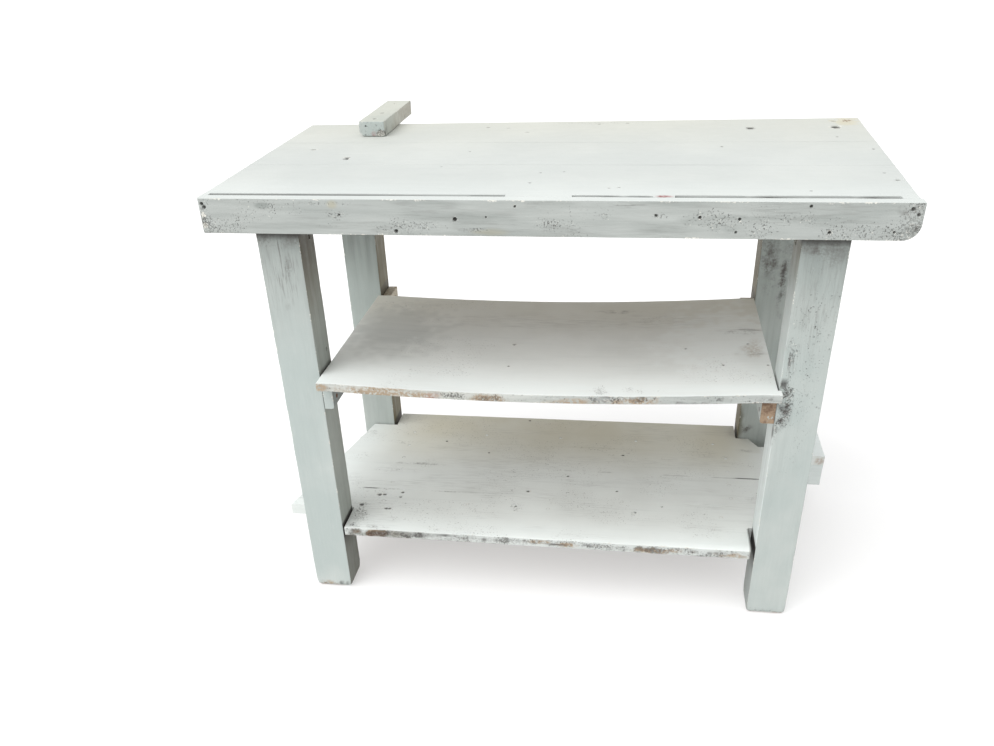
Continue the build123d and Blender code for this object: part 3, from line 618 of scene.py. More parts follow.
    def make(self, name, slot, material, body="frame"):
        """The finished mesh object, which stands for its CAD node."""
        for key, rows in PATCHES.get(self.node, {}).items():
            for *lengths, strength in rows:
                self.patch(*key.split(), *metres(lengths), strength)
        mesh = bpy.data.meshes.new(name)
        mesh.from_pydata(self.points.tolist(), [], self.faces.tolist())
        for kind, values in self.marks.items():
            layer = mesh.attributes.new(kind, "FLOAT", "POINT")
            layer.data.foreach_set("value", values.astype(np.float32))
        mesh.polygons.foreach_set("use_smooth", np.ones(len(self.faces), bool))
        mesh.set_sharp_from_angle(angle=math.radians(SHARP_DEGREES))
        mesh.materials.append(material)
        piece = bpy.data.objects.new(name, mesh)
        bpy.context.scene.collection.objects.link(piece)
        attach(piece, body)
        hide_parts(self.node)


# Materials

def linear(red, green, blue):
    """A colour given by its usual screen values from 0 to 255."""
    values = [channel / 255 for channel in (red, green, blue)]
    return tuple(((v + 0.055) / 1.055) ** 2.4 if v > 0.04 else v / 12.92 for v in values) + (1.0,)


WORKTOP_COLOUR = linear(183, 187, 184)
FRAME_COLOUR = linear(166, 175, 172)
# Paler copy of the frame paint for the back legs: painted light that lifts the shade of the worktop and
# shelf on them
BACK_LEG_COLOUR = linear(176, 185, 181)
# The shelf and deck paints are paler than the worktop's: partly paler paint, partly painted light that lifts
# the shade under the worktop and the middle shelf
SHELF_COLOUR = linear(219, 222, 219)
DECK_COLOUR = linear(213, 217, 214)
PALE_CLOUD = linear(196, 199, 195)
DULL_STREAK = linear(152, 157, 154)
BRUSH_LIGHT = linear(205, 207, 203)
WARM_STAIN = linear(186, 181, 160)
# Grey of dirt specks and streaks, also used as painted shade high on the legs under the worktop and on the
# back right leg
GREY_GRIME_AND_SHADE = linear(100, 98, 95)
# Paler paint, also used as painted light on the front of the shelf and of the deck edge, on the right front
# leg's inner face and on the deck's ends beyond the legs
PALE_PAINT_AND_LIGHT = linear(230, 237, 236)
# Olive-brown stain, also used as painted shade high on the legs' inner faces, low under the deck and on the
# upper rails' sides
OLIVE_STAIN_AND_SHADE = linear(104, 96, 70)
# Greyer paint on the worktop's front, also used as painted shade on the upper legs, the back legs and the
# back of the shelf
DULL_GREY_AND_SHADE = linear(112, 118, 114)
UNDERCOAT = linear(205, 204, 196)
TAN_WOOD = linear(150, 130, 108)
BROWN_WOOD = linear(112, 90, 74)
TAN_CHIP = linear(158, 142, 122)
RED_CHIP = linear(150, 92, 92)
DARK = linear(48, 44, 41)
STEEL_COLOUR = linear(120, 116, 110)
RUST_COLOUR = linear(110, 72, 50)
FLOOR_DARKER = linear(192, 192, 192)
FLOOR_LIGHTER = linear(195, 195, 195)

GRAIN_STRETCH = 14
GRAINS = {
    "x": (1.0, GRAIN_STRETCH, GRAIN_STRETCH),
    "y": (GRAIN_STRETCH, 1.0, GRAIN_STRETCH),
    "z": (GRAIN_STRETCH, GRAIN_STRETCH, 1.0),
}
SPECULAR = 0.35
PAINT_RELIEF = 0.0006
STEEL_RELIEF = 0.0002
SOFTWOOD_RELIEF = 0.0005


class Graph:
    """A short way to write a material's node tree."""

    def __init__(self, name):
        self.material = bpy.data.materials.new(name)
        self.material.use_nodes = True
        self.tree = self.material.node_tree
        self.tree.nodes.clear()

    def node(self, kind, inputs=(), **settings):
        made = self.tree.nodes.new(kind)
        for key, value in settings.items():
            setattr(made, key, value)
        for key, value in dict(inputs).items():
            self.put(made.inputs[key], value)
        return made

    def put(self, socket, value):
        if isinstance(value, bpy.types.NodeSocket):
            self.tree.links.new(value, socket)
        else:
            socket.default_value = value

    def place(self):
        return self.node("ShaderNodeTexCoord").outputs["Object"]

    def calc(self, operation, *values, clamp=False):
        made = self.node("ShaderNodeMath", operation=operation, use_clamp=clamp)
        for socket, value in zip(made.inputs, values):
            self.put(socket, value)
        return made.outputs[0]

    def times(self, first, second, clamp=False):
        return self.calc("MULTIPLY", first, second, clamp=clamp)

    def add_up(self, *terms):
        total = terms[0]
        for term in terms[1:]:
            total = self.calc("ADD", total, term)
        return total

    def band(self, value, low, high, bottom=0.0, top=1.0):
        inputs = {"Value": value, "From Min": low, "From Max": high, "To Min": bottom, "To Max": top}
        return self.node("ShaderNodeMapRange", inputs, interpolation_type="SMOOTHSTEP").outputs[0]

    def mix(self, share, first, second):
        made = self.node("ShaderNodeMix", data_type="RGBA")
        for socket, value in zip((made.inputs[0], made.inputs[6], made.inputs[7]), (share, first, second)):
            self.put(socket, value)
        return made.outputs[2]

    def mark(self, name):
        return self.node("ShaderNodeAttribute", attribute_name=name).outputs["Fac"]

    def tint(self, tone, kind, amount, colour):
        """The colour shows through where the mark is, as far as the amount lets it."""
        return self.mix(self.times(self.mark(kind), amount, clamp=True), tone, colour)

    def noise(self, place, scale, detail=4.0, roughness=0.55):
        inputs = {"Vector": place, "Scale": scale, "Detail": detail, "Roughness": roughness}
        return self.node("ShaderNodeTexNoise", inputs).outputs["Fac"]

    def along_grain(self, place, grain):
        return self.node("ShaderNodeMapping", {"Vector": place, "Scale": GRAINS[grain]}).outputs[0]

    def finish(self, colour, roughness, height, distance, metallic=0.0):
        bump = self.node("ShaderNodeBump", {"Height": height, "Distance": distance, "Strength": 1.0})
        inputs = {
            "Base Color": colour,
            "Roughness": roughness,
            "Metallic": metallic,
            "Specular IOR Level": SPECULAR,
            "Normal": bump.outputs[0],
        }
        shader = self.node("ShaderNodeBsdfPrincipled", inputs)
        self.node("ShaderNodeOutputMaterial", {"Surface": shader.outputs[0]})
        return self.material


def wood_colour(graph, streaks, cloud):
    tan = graph.mix(graph.band(streaks, 0.42, 0.62), TAN_WOOD, BROWN_WOOD)
    return graph.mix(graph.band(cloud, 0.45, 0.75, 0.0, 0.5), tan, DARK)


def brushed_tone(graph, colour, streaks, brush, cloud):
    """Brushed paint with the large soft marks on it."""
    tone = graph.mix(graph.band(cloud, 0.35, 0.7, 0.0, 0.5), colour, PALE_CLOUD)
    tone = graph.mix(graph.band(streaks, 0.50, 0.75, 0.0, 0.16), tone, DULL_STREAK)
    tone = graph.mix(graph.band(brush, 0.45, 0.75, 0.0, 0.10), tone, BRUSH_LIGHT)
    tone = graph.tint(tone, "warm", graph.band(cloud, 0.2, 0.6, 0.7, 1.0), WARM_STAIN)
    uneven = graph.band(streaks, 0.3, 0.7, 0.7, 1.1)
    # Two of these tints also paint shade, and the last also paints light
    for kind, tint in (("olive", OLIVE_STAIN_AND_SHADE), ("dull", DULL_GREY_AND_SHADE), ("pale", PALE_PAINT_AND_LIGHT)):
        tone = graph.tint(tone, kind, uneven, tint)
    streak = graph.times(graph.mark("streak"), graph.band(brush, 0.48, 0.62), clamp=True)
    return graph.mix(graph.times(streak, 0.75), tone, GREY_GRIME_AND_SHADE)


def crumbled_spots(graph, place, mottle):
    """Where small crumbs of paint are gone, and where such spots are filled again."""
    wanted = graph.mark("pits")
    present = graph.times(wanted, 8.0, clamp=True)
    crumbs = graph.add_up(graph.noise(place, 310.0, 3.0, 0.65), graph.times(wanted, 0.12))
    crumb = graph.times(present, graph.band(crumbs, 0.645, 0.70))
    crumb = graph.times(crumb, graph.band(mottle, 0.35, 0.65, 0.25, 0.85))
    fills = graph.add_up(graph.noise(place, 240.0, 3.0, 0.6), graph.times(wanted, 0.07))
    return crumb, graph.times(present, graph.band(fills, 0.67, 0.74))


def painted_wood(name, colour, grain):
    """Old brushed paint with worn arrises, stains, pits and bare patches, and the painted shade and light
    that some of its marks carry.
    """
    graph = Graph(name)
    place = graph.place()
    stretched = graph.along_grain(place, grain)
    streaks = graph.noise(stretched, 5.0, 8.0, 0.65)
    brush = graph.noise(stretched, 22.0, 5.0, 0.6)
    cloud = graph.noise(place, 5.0, 4.0)
    mottle = graph.noise(place, 38.0, 5.0, 0.6)
    fine = graph.noise(place, 260.0, 3.0, 0.6)
    tone = brushed_tone(graph, colour, streaks, brush, cloud)

    speckle = graph.add_up(graph.band(mottle, 0.35, 0.75), graph.band(fine, 0.35, 0.75, -0.3, 0.3))
    # Dirt specks, which also paint the shade under the worktop and on the back right leg
    tone = graph.tint(tone, "grime", speckle, GREY_GRIME_AND_SHADE)

    ragged = graph.add_up(graph.band(mottle, 0.3, 0.7, 0.3, 1.1), graph.band(fine, 0.3, 0.7, 0.0, 0.6))
    edge = graph.times(graph.mark("edge"), 0.62)
    worn = graph.times(graph.calc("MAXIMUM", edge, graph.mark("wear")), ragged)
    worn = graph.band(worn, 0.74, 0.86)
    tone = graph.mix(worn, tone, UNDERCOAT)

    grainy = graph.add_up(ragged, graph.band(streaks, 0.3, 0.7, -0.2, 0.2))
    bare = graph.band(graph.times(graph.mark("bare"), grainy), 0.56, 0.66)
    tone = graph.mix(bare, tone, wood_colour(graph, streaks, cloud))

    crumb, fill = crumbled_spots(graph, place, mottle)
    tone = graph.mix(graph.times(fill, 0.55), tone, UNDERCOAT)
    flecks = graph.band(graph.noise(place, 190.0, 3.0, 0.6), 0.38, 0.56, 0.1, 1.0)
    tone = graph.tint(tone, "tan", flecks, TAN_CHIP)
    # Crumbs and holes go dark, and so does the painted shade that this mark carries
    hole = graph.calc("MAXIMUM", crumb, graph.mark("hole"))
    tone = graph.mix(graph.times(hole, 0.85, clamp=True), tone, DARK)
    tone = graph.tint(tone, "red", graph.band(fine, 0.35, 0.6, 0.4, 1.0), RED_CHIP)

    height = graph.add_up(
        graph.band(brush, 0.2, 0.8, 0.0, 0.25),
        graph.band(fine, 0.2, 0.8, 0.0, 0.08),
        graph.times(worn, -0.35),
        graph.times(bare, -0.5),
        graph.times(crumb, -1.0),
    )
    roughness = graph.band(graph.add_up(mottle, graph.times(bare, 0.4)), 0.3, 1.1, 0.55, 0.85)
    return graph.finish(tone, roughness, height, PAINT_RELIEF)


def dull_steel(name):
    graph = Graph(name)
    place = graph.place()
    blotch = graph.noise(place, 90.0, 5.0, 0.65)
    fine = graph.noise(place, 900.0, 3.0)
    tone = graph.mix(graph.band(blotch, 0.42, 0.6), STEEL_COLOUR, RUST_COLOUR)
    tone = graph.mix(graph.band(fine, 0.45, 0.8, 0.0, 0.5), tone, DARK)
    roughness = graph.band(blotch, 0.35, 0.65, 0.4, 0.85)
    return graph.finish(tone, roughness, fine, STEEL_RELIEF, metallic=0.6)


def bare_softwood(name):
    graph = Graph(name)
    place = graph.place()
    streaks = graph.noise(graph.along_grain(place, "x"), 9.0, 8.0, 0.65)
    cloud = graph.noise(place, 6.0, 4.0)
    fine = graph.noise(place, 400.0, 3.0)
    height = graph.add_up(streaks, graph.times(fine, 0.3))
    return graph.finish(wood_colour(graph, streaks, cloud), 0.8, height, SOFTWOOD_RELIEF)


WORKTOP_PAINT = painted_wood("worktop_paint", WORKTOP_COLOUR, "x")
POST_PAINT = painted_wood("post_paint", FRAME_COLOUR, "z")
BACK_POST_PAINT = painted_wood("back_post_paint", BACK_LEG_COLOUR, "z")
CROSS_PAINT = painted_wood("cross_paint", FRAME_COLOUR, "y")
RAIL_PAINT = painted_wood("rail_paint", FRAME_COLOUR, "x")
SHELF_PAINT = painted_wood("shelf_paint", SHELF_COLOUR, "x")
DECK_PAINT = painted_wood("deck_paint", DECK_COLOUR, "x")
STEEL = dull_steel("dull_steel")
SOFTWOOD = bare_softwood("bare_softwood")


# Worktop

def groove_depth(points, start, end, width, spread):
    """Depth of a stopped groove at each point, seen from above."""
    (x0, y0), (x1, y1) = start, end
    x, y = points[:, 0], points[:, 1]
    share = np.clip((x - x0) / (x1 - x0), 0, 1)
    middle = y0 + (y1 - y0) * share
    half = (width + spread * share) / 2
    inside_x = ramp(x0 - GROOVE_EDGE, x0, x) * ramp(x1, x1 - GROOVE_EDGE, x)
    inside_y = ramp(-half - GROOVE_EDGE / 2, -half + GROOVE_EDGE / 2, -np.abs(y - middle))
    return GROOVE_DEPTH * inside_x * inside_y


def cut_grooves(timber):
    depth = sum(groove_depth(timber.rest, *groove) for groove in GROOVES)
    depth = np.where(timber.on_face("top"), depth, 0)
    timber.points[:, 2] -= depth
    # The groove floor is darkened: painted shade in the groove
    timber.mark("hole", True, 0.95 * np.clip(3 * depth / GROOVE_DEPTH, 0, 1))


def skew_right_end(board):
    """The right end of the worktop is a little out of square."""
    top_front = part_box("top_lipping")[0].y
    top_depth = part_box("top_plank_back")[1].y - BACK_EDGE_SKEW - top_front
    x, y, z = board.rest.T
    share = np.clip((x - board.high[0] + RIGHT_END_STRIP) / RIGHT_END_STRIP, 0, 1)
    board.points[:, 0] -= RIGHT_END_SKEW * (board.high[1] - y) / top_depth * share


def skew_back_edge(board):
    """The back edge runs further back towards the right."""
    x, y, z = board.rest.T
    along = (board.high[0] - x) / (board.high[0] - board.low[0])
    share = np.clip((y - board.high[1] + BACK_EDGE_STRIP) / BACK_EDGE_STRIP, 0, 1)
    board.points[:, 1] -= BACK_EDGE_SKEW * along * share


def top_board(node, kind, tight, exact=NO_LINES):
    board = Timber(node, kind, tight=tight, exact=exact)
    low_corner = (-ANYWHERE, -ANYWHERE, board.low[2])
    board.round_corner(low_corner, (board.high[0], ANYWHERE, ANYWHERE), END_ROUNDING)
    board.roughen()
    skew_right_end(board)
    ends = board.on_face("back") | board.on_face("left") | board.on_face("right")
    knocked = board.cloud(5, (0.09, 0.09, 0.03), 0.40, 0.65)
    for mark, base, added in (("pits", 0.12, 0.50), ("streak", 0.12, 0.25), ("dull", 0.20, 0.20)):
        board.mark(mark, ends, base + added * knocked)
    return board


def make_lipping():
    lipping = top_board("top_lipping", "lipping", ("back",), (GROOVE_LINES_X, GROOVE_LINES_Y, ()))
    front_left = (lipping.low[0], lipping.low[1], -ANYWHERE)
    lipping.round_corner(front_left, (ANYWHERE,) * 3, CORNER_CHAMFER, 1)
    cut_grooves(lipping)
    x, y, z = lipping.rest.T
    face = lipping.on_face("front")
    lower = ramp(0.850, 0.815, z)
    ends = ramp(-0.585, -0.605, x) + ramp(0.545, 0.575, x)
    patchy = lipping.cloud(5, (0.06, 1, 0.03), 0.42, 0.62)
    lipping.mark("pits", face, (0.15 + 0.55 * lower) * patchy + 0.9 * np.clip(ends, 0, 1))
    grey = lipping.cloud(9, (0.10, 1, 0.02), 0.35, 0.65)
    lipping.mark("streak", face, 0.08 + 0.20 * grey)
    lipping.mark("dull", face, 0.42 + 0.14 * grey)
    lipping.make("lipping", "worktop_paint", WORKTOP_PAINT)


def make_planks():
    front = top_board("top_plank_front", "plank", ("front", "back"), (GROOVE_LINES_X, GROOVE_LINES_Y, ()))
    cut_grooves(front)
    middle = top_board("top_plank_middle", "plank", ("front", "back"))
    back = top_board("top_plank_back", "plank", ("front",))
    skew_back_edge(back)
    for name, plank in (("front", front), ("middle", middle), ("back", back)):
        plank.make(f"plank_{name}", "worktop_paint", WORKTOP_PAINT)


def make_block():
    block = Timber("stop_block", "block")
    low = block.low
    block.round_corner((low[0], -ANYWHERE, low[2]), (ANYWHERE,) * 3, BLOCK_CHAMFER, 1)
    block.roughen()
    # A thin dark line along the foot: painted contact shadow
    block.mark("hole", block.rest[:, 2] < low[2] + MILLIMETRE, 0.2)
    block.make("block", "frame_paint", CROSS_PAINT)


# Legs, rails and cleats

# Bands across the inner faces of the legs, where painted shade darkens them below and beside the deck and
# behind the shelf: where they start and end
LEG_BANDS = {
    "low": (-ANYWHERE, 0.138),
    "above_deck": (0.136, 0.170),
    "beside_deck": (0.150, 0.170),
    "behind_shelf": (0.498, 0.526),
}
# Marks over regions of all legs, a row or one: strength, what is added, heights where that starts and ends
# The dark bands high on the sides are painted shade under the worktop; the dark and brownish marks by the
# deck, behind the shelf and low down, and the greyer outer faces, are partly painted shade.
LEG_COATS = {
    "all": {
        "grime sides": (0, 0.90, 0.758, 0.792),
        "hole sides": (0, 0.95, 0.782, 0.792),
        "wear sides": (0, 0.55, 0.030, 0.004),
        "pits sides": (0, 0.90, 0.016, 0.002),
        "olive inner": (0, 0.90, 0.50, 0.78),
        "olive low": (0.6,),
        "hole low": (0.38, 0.40, 0.09, 0.136),
        "hole behind_shelf": (0.6,),
    },
    "front": {"hole above_deck": (1.15,)},
    "back": {"olive inner": (1.15,), "hole beside_deck": (0.8,)},
    "leg_front_left": {"hole inner": (0, 0.62, 0.64, 0.78), "olive inner": (0.34,)},
    "leg_back_left": {"dull outer": (0.24, 0.62, 0.50, 0.70)},
    "leg_front_right": {"dull outer": (0.14, 0.40, 0.50, 0.80)},
    "leg_back_right": {"dull outer": (0.45, 0.25, 0.50, 0.80), "grime outer": (0, 0.70, 0.56, 0.66)},
}


def name_regions(leg, inner):
    """The sides of a leg, its inner and outer faces and the bands across the inner one."""
    z = leg.rest[:, 2]
    sides = ~(leg.on_face("top") | leg.on_face("under"))
    inside = leg.on_face(inner)
    leg.regions.update(sides=sides, inner=inside, outer=sides & ~inside)
    for name, (start, end) in LEG_BANDS.items():
        leg.regions[name] = inside & (z > start) & (z < end)


def dress_leg(leg, row, inner):
    """Painted shade under the worktop and on the inner faces, with brownish stain there, painted light on
    one inner face, and wear at the feet.
    """
    name_regions(leg, inner)
    z = leg.rest[:, 2]
    sides, inside = leg.regions["sides"], leg.regions["inner"]
    high_up = ramp(0.50, 0.80, z)
    patches = leg.cloud(2, (0.03, 0.03, 0.12), 0.42, 0.68)
    chips = leg.cloud(6, (0.012, 0.012, 0.004), 0.5, 0.62)
    leg.mark("streak", sides, 0.35 * patches * high_up)
    # The legs grey towards the top: painted shade under the worktop
    leg.mark("dull", sides, 0.45 * high_up + 0.3 * ramp(0.775, 0.800, z))
    leg.mark("bare", sides, 0.9 * chips * ramp(0.010, 0.002, z))
    for name in ("all", row, leg.node):
        leg.dress(LEG_COATS[name])
    if leg.node == "leg_front_left":
        leg.marks["dull"][inside] *= 0.35
        leg.coat("dull", "inner", 0.20)
    if leg.node == "leg_front_right":
        leg.marks["olive"][inside] *= ramp(0.68, 0.78, z[inside])
        # The inner face of the right front leg is paler: painted light falling from the left
        pale = 0.30 * ramp(0.74, 0.60, z) + 0.25 * ramp(0.50, 0.40, z)
        leg.mark("pale", inside & ~leg.regions["low"], pale)


def make_leg(side, row):
    node = f"leg_{row}_{side}"
    low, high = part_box(node)
    inner = "right" if side == "left" else "left"
    peg_y = high.y - PEG_HOLE_INSET if row == "front" else low.y + PEG_HOLE_INSET
    peg_hole = (inner, peg_y, PEG_HOLE_HEIGHT, PEG_HOLE_RADIUS, PEG_HOLE_DEPTH)
    leg = Timber(node, "leg", tight=("top",), pits=[peg_hole] + pits_of(node))
    leg.round_foot(FOOT_ROUNDING, FOOT_WEAR_HEIGHT)
    leg.roughen()
    dress_leg(leg, row, inner)
    paint = POST_PAINT if row == "front" else BACK_POST_PAINT
    leg.make(node.replace("leg", "post"), "frame_paint", paint)


def make_upper_rail(side):
    node = f"upper_rail_{side}"
    low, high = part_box(node)
    front_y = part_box(f"leg_front_{side}")[1].y
    back_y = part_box(f"leg_back_{side}")[0].y
    between = ((low.x, front_y, low.z), (high.x, back_y, high.z))
    rail = Timber(node, "upper rail", between, ("front", "back", "top"))
    rail.roughen()
    rail.make(f"top_rail_{side}", "frame_paint", CROSS_PAINT)


def make_cleat(side):
    cleat = Timber(f"shelf_cleat_{side}", "cleat", tight=("top",))
    low, high = cleat.low, cleat.high
    if side == "left":
        cleat.round_corner((-ANYWHERE, -ANYWHERE, low[2]), (high[0], ANYWHERE, ANYWHERE), CLEAT_CHAMFER)
    else:
        cleat.round_corner((low[0], -ANYWHERE, low[2]), (ANYWHERE,) * 3, CLEAT_CHAMFER)
        cleat.coat("bare", "front", 1.2)
    cleat.roughen()
    if side == "left":
        # The left cleat's inner face is darkened near the front: painted shade under the shelf
        cleat.mark("hole", cleat.on_face("right") & (cleat.rest[:, 1] < CLEAT_BARE_START), 0.6)
    cleat.make(f"cleat_{side}", "frame_paint", CROSS_PAINT)


# Middle shelf

def sag(x, low, high):
    """How far the shelf hangs below its ends."""
    start = low + SHELF_BEARING
    end = high - SHELF_BEARING
    share = np.clip((x - start) / (end - start), 0, 1)
    return SHELF_SAG * 4 * share * (1 - share)


def shelf_ear():
    """Where the shelf's right end and the back of its ear lie."""
    leg_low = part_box("leg_front_right")[0]
    return leg_low.x - SHELF_SIDE_GAP, leg_low.y - SHELF_EAR_GAP


def skew_shelf(shelf):
    """Neither long edge of the shelf is square to its ends."""
    end, ear_back = shelf_ear()
    x, y, z = shelf.rest.T
    along = (x - shelf.low[0]) / (shelf.high[0] - shelf.low[0])
    front_share = np.clip((ear_back - y) / (ear_back - shelf.low[1]), 0, 1)
    back_share = np.clip((y - shelf.high[1] + SHELF_BACK_STRIP) / SHELF_BACK_STRIP, 0, 1)
    shelf.points[:, 1] += SHELF_FRONT_SKEW * along * front_share
    shelf.points[:, 1] -= SHELF_BACK_SKEW * (1 - along) * back_share


def make_shelf():
    low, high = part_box("middle_shelf")
    level = ((low.x, low.y, low.z + SHELF_SAG), high)
    end, ear_back = shelf_ear()
    shelf = Timber("middle_shelf", "shelf", level, cuts=((end, ANYWHERE, ear_back, ANYWHERE),))
    shelf.roughen()
    skew_shelf(shelf)
    shelf.mark("pits", shelf.on_face("top"), 0.22 * shelf.cloud(12, (0.10, 0.05, 1), 0.55, 0.70))
    shelf.points[:, 2] -= sag(shelf.rest[:, 0], low.x, end)
    shelf.make("shelf", "shelf_paint", SHELF_PAINT, "shelf")


# Lower shelf

# The faces of each deck board that meet a neighbour in a seam filled with old paint
DECK_SEAMS = {
    "lower_board_front": ("back",),
    "lower_board_second": ("front", "back"),
    "lower_board_third": ("front", "back"),
    "lower_board_rear": ("front",),
}


def left_end(y):
    """Where the slanted sawn end of the lower shelf lies."""
    leg_low, leg_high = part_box("leg_front_left")
    back_leg_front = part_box("leg_back_left")[0].y
    front_x = leg_low.x - LEFT_END_FRONT_OVERRUN
    back_x = leg_low.x + LEFT_END_BACK_UNDERRUN
    return front_x + (back_x - front_x) * (y - leg_high.y) / (back_leg_front - leg_high.y)


def slant_left_end(board, anchor):
    x, y, z = board.rest.T
    share = np.clip((anchor - x) / (anchor - board.low[0]), 0, 1)
    board.points[:, 0] += (left_end(y) - board.low[0]) * share


def nail_heads():
    """The places of the nail heads, read from the nails themselves."""
    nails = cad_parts["lower_board_nails"].data
    highest = max(vertex.co.z for vertex in nails.vertices)
    found = []
    for vertex in nails.vertices:
        if vertex.co.z < highest - 0.1 * MILLIMETRE:
            continue
        near = [spot for spot in found if (spot[0] - vertex.co.xy).length < NAIL_SPREAD]
        if near:
            near[0].append(vertex.co.xy.copy())
        else:
            found.append([vertex.co.xy.copy()])
    return [sum(spot, Vector((0, 0))) / len(spot) for spot in found]


def deck_board(node, kind, cuts=()):
    low, high = (corner.copy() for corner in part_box(node))
    seams = DECK_SEAMS[node]
    low.y -= SEAM_FILL if "front" in seams else 0
    high.y += SEAM_FILL if "back" in seams else 0
    nails = [spot for spot in nail_heads() if low.y < spot.y < high.y]
    pits = pits_of(node) + [("top", spot.x, spot.y, NAIL_DENT_RADIUS, NAIL_DENT_DEPTH) for spot in nails]
    board = Timber(node, kind, (low, high), seams, seams, pits=pits, cuts=cuts)
    board.roughen()
    slant_left_end(board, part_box("leg_front_left")[1].x)
    x, y, z = board.rest.T
    leg_low, leg_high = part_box("leg_back_left")
    right_low, right_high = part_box("leg_back_right")
    sheltered = ramp(leg_low.x, leg_high.x + SHELTER_SPREAD_LEFT, x)
    sheltered = sheltered * ramp(right_high.x, right_low.x - SHELTER_SPREAD_RIGHT, x)
    top = board.on_face("top")
    board.mark("warm", True, 0.8 * sheltered * ramp(-0.12, 0.12, y))
    # The ends of the boards beyond the back legs are paler: painted light
    board.mark("pale", top, 0.40 * (1 - sheltered) ** 3)
    board.mark("pits", top, 0.28 * board.cloud(14, (0.09, 0.05, 1), 0.45, 0.70))
    board.mark("streak", top, 0.20 * board.cloud(16, (0.12, 0.03, 1), 0.5, 0.7))
    return board


def slant_broken_corner(board, sound, front):
    """The corner is broken off at a slant."""
    x, y, z = board.rest.T
    depth = np.clip((front - y) / BROKEN_CORNER_DEPTH, 0, 1)
    near = np.clip(1 - np.abs(x - sound) / SOUND_NOTCH_EDGE, 0, 1)
    board.points[:, 0] += BROKEN_CORNER_WIDTH * depth * near


def wane_front_edge(board):
    """The front edge is worn down towards the right and hollow underneath towards the left."""
    x, y, z = board.rest.T
    low, high = board.low, board.high
    along = (x - low[0]) / (high[0] - low[0])
    near = np.clip(1 - (y - low[1]) / DECK_WANE_DEPTH, 0, 1)
    height = (z - low[2]) / (high[2] - low[2])
    board.points[:, 2] -= DECK_WANE_TOP * along * near ** 2 * height
    board.points[:, 2] += DECK_WANE_UNDER * (1 - along) * near * (1 - height)


def make_front_deck_board():
    left_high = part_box("leg_front_left")[1]
    leg_low, leg_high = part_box("leg_front_right")
    right = leg_low.x - FRONT_RIGHT_NOTCH_GAP
    back = left_high.y + NOTCH_GAP
    cuts = ((-ANYWHERE, left_high.x + NOTCH_GAP, -ANYWHERE, back), (right, ANYWHERE, -ANYWHERE, back))
    board = deck_board("lower_board_front", "deck edge", cuts)
    wane_front_edge(board)
    x, y, z = board.rest.T
    face = board.on_face("front")
    patches = board.cloud(0, (0.03, 1, 0.02), 0.40, 0.62)
    board.mark("grime", face, 0.4 * patches)
    board.mark("pits", face, 0.9 * patches)
    # The board's end by the right front leg is darkened: painted shade in the gap
    board.mark("hole", (x > right - MILLIMETRE) & (y < leg_high.y), 1.15)
    board.make("deck_front", "deck_paint", DECK_PAINT)


def make_rear_deck_board():
    left_low, left_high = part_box("leg_back_left")
    right_low, right_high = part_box("leg_back_right")
    notch = right_low.x - BACK_RIGHT_NOTCH_GAP
    sound = notch + SOUND_NOTCH_EDGE
    outer = right_high.x + BACK_RIGHT_OUTER_GAP
    front = left_low.y - NOTCH_GAP
    cuts = (
        (-ANYWHERE, left_high.x + BACK_LEFT_NOTCH_GAP, front, ANYWHERE),
        (notch, outer, front, ANYWHERE),
        (sound, outer, front - BROKEN_CORNER_DEPTH, ANYWHERE),
    )
    board = deck_board("lower_board_rear", "deck", cuts)
    slant_broken_corner(board, sound, front)
    board.coat("pits", "back", 0.8)
    board.coat("dull", "back", 0.25)
    beyond = board.on_face("top") & (board.rest[:, 0] > outer)
    # The top beyond the right back leg is painted light
    board.mark("pale", beyond, 1.3)
    board.marks["pits"][beyond] = 0
    board.make("deck_rear", "deck_paint", DECK_PAINT)


def make_deck():
    make_front_deck_board()
    for name in ("second", "third"):
        board = deck_board(f"lower_board_{name}", "deck")
        board.make(f"deck_{name}", "deck_paint", DECK_PAINT)
    make_rear_deck_board()


def make_lower_rails():
    for row in ("front", "rear"):
        rail = Timber(f"lower_rail_{row}", "lower rail", tight=("top",))
        rail.roughen()
        beyond = rail.rest[:, 0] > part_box("leg_front_right")[1].x
        long_faces = rail.on_face("front") | rail.on_face("back")
        rail.mark("streak", long_faces & ~beyond, 0.4)
        # The rail's end beyond the right front leg is paler: painted light
        rail.mark("pale", beyond, 0.5)
        rail.make(f"rail_{row}", "frame_paint", RAIL_PAINT)
    for side in ("left", "right"):
        bearer = Timber(f"lower_bearer_{side}", "bearer", tight=("top", "front", "back"))
        bearer.roughen()
        bearer.make(f"bearer_{side}", "bare_wood", CROSS_PAINT)


def dress_fasteners():
    finishes = {
        "lipping_dowels": SOFTWOOD,
        "plank_dowels": SOFTWOOD,
        "upper_rail_pegs": POST_PAINT,
        "lower_board_nails": DECK_PAINT,
    }
    for name in ("stop_block_screws", "top_screws", "cleat_screws", "bearer_screws", "lower_rail_bolts"):
        finishes[name] = STEEL
    for name, material in finishes.items():
        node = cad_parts[name]
        if not node.material_slots:
            node.data.materials.append(material)
        for holder in node.material_slots:
            holder.material = material


# Surroundings

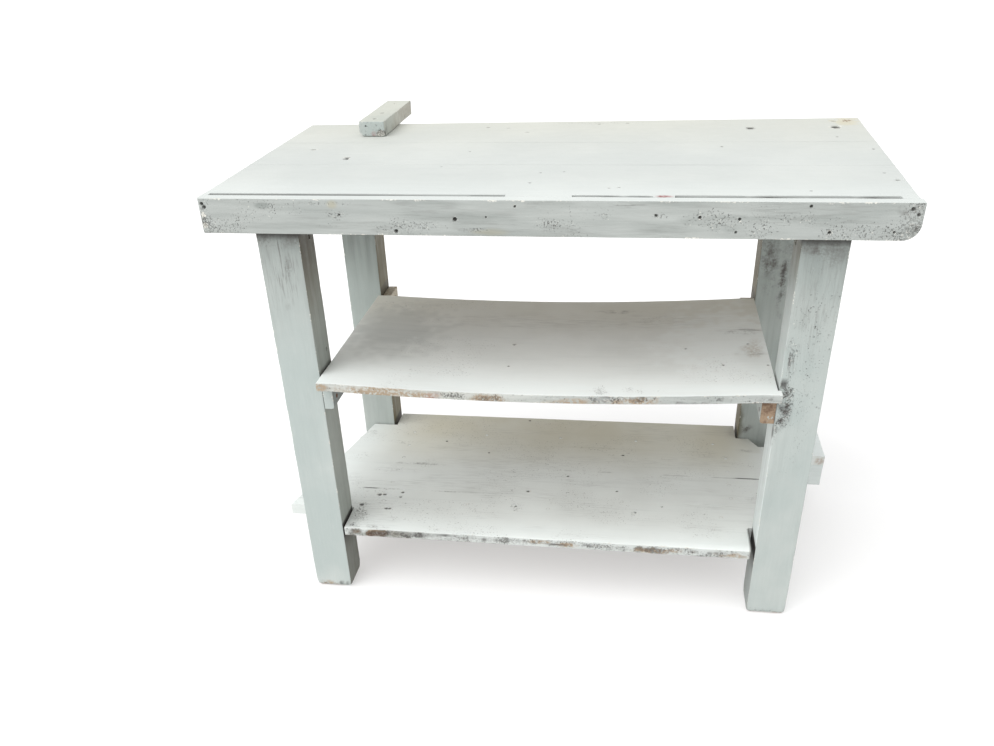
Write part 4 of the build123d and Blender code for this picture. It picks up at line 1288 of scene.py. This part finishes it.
def make_floor():
    mesh = bpy.data.meshes.new("floor")
    half = FLOOR_SIZE / 2
    corners = [(x, y, -FLOOR_SINK) for x, y in ((-half, -half), (half, -half), (half, half), (-half, half))]
    mesh.from_pydata(corners, [], [(0, 1, 2, 3)])
    graph = Graph("pale_glowing_floor")
    tone = graph.mix(graph.noise(graph.place(), FLOOR_CLOUD_SCALE), FLOOR_DARKER, FLOOR_LIGHTER)
    pale = graph.node("ShaderNodeBsdfDiffuse", {"Color": tone}).outputs[0]
    # Painted light: the floor glows like a light table
    glow = graph.node("ShaderNodeEmission", {"Color": tone, "Strength": FLOOR_GLOW}).outputs[0]
    both = graph.node("ShaderNodeAddShader", {0: pale, 1: glow}).outputs[0]
    graph.node("ShaderNodeOutputMaterial", {"Surface": both})
    mesh.materials.append(graph.material)
    floor = bpy.data.objects.new("floor", mesh)
    bpy.context.scene.collection.objects.link(floor)


def make_lights():
    sun = bpy.data.lights.new("soft_key", "SUN")
    sun.energy = SUN_STRENGTH
    sun.angle = math.radians(SUN_SPREAD_DEGREES)
    lamp = bpy.data.objects.new("soft_key", sun)
    tilt = math.radians(90 - SUN_ELEVATION_DEGREES)
    lamp.rotation_euler = (tilt, 0, math.radians(SUN_TURN_DEGREES))
    bpy.context.scene.collection.objects.link(lamp)
    world = bpy.data.worlds.new("studio")
    world.use_nodes = True
    background = world.node_tree.nodes["Background"]
    background.inputs["Color"].default_value = (1, 1, 1, 1)
    background.inputs["Strength"].default_value = WORLD_STRENGTH
    bpy.context.scene.world = world
    bpy.context.scene.view_settings.view_transform = "Standard"


def make_camera():
    yaw, pitch, roll = CAMERA_YAW, CAMERA_PITCH, CAMERA_ROLL
    forward = Vector((-math.sin(yaw) * math.cos(pitch), math.cos(yaw) * math.cos(pitch), -math.sin(pitch)))
    level = Vector((math.cos(yaw), math.sin(yaw), 0))
    upright = level.cross(forward)
    right = level * math.cos(roll) + upright * math.sin(roll)
    up = -level * math.sin(roll) + upright * math.cos(roll)
    data = bpy.data.cameras.new("photo_camera")
    data.sensor_width = SENSOR_WIDTH_MM
    data.lens = FOCAL_PIXELS / PHOTO_WIDTH_PIXELS * SENSOR_WIDTH_MM
    data.shift_x = (PHOTO_WIDTH_PIXELS / 2 - CENTRE_X_PIXEL) / PHOTO_WIDTH_PIXELS
    data.shift_y = (CENTRE_Y_PIXEL - PHOTO_HEIGHT_PIXELS / 2) / PHOTO_WIDTH_PIXELS
    camera = bpy.data.objects.new("photo_camera", data)
    turned = Matrix((right, up, -forward)).transposed().to_4x4()
    camera.matrix_world = Matrix.Translation(CAMERA_PLACE) @ turned
    bpy.context.scene.collection.objects.link(camera)
    bpy.context.scene.camera = camera


make_camera()
make_lights()
make_floor()
make_lipping()
make_planks()
make_block()
for row in ("front", "back"):
    for side in ("left", "right"):
        make_leg(side, row)
for side in ("left", "right"):
    make_upper_rail(side)
    make_cleat(side)
make_shelf()
make_deck()
make_lower_rails()
dress_fasteners()
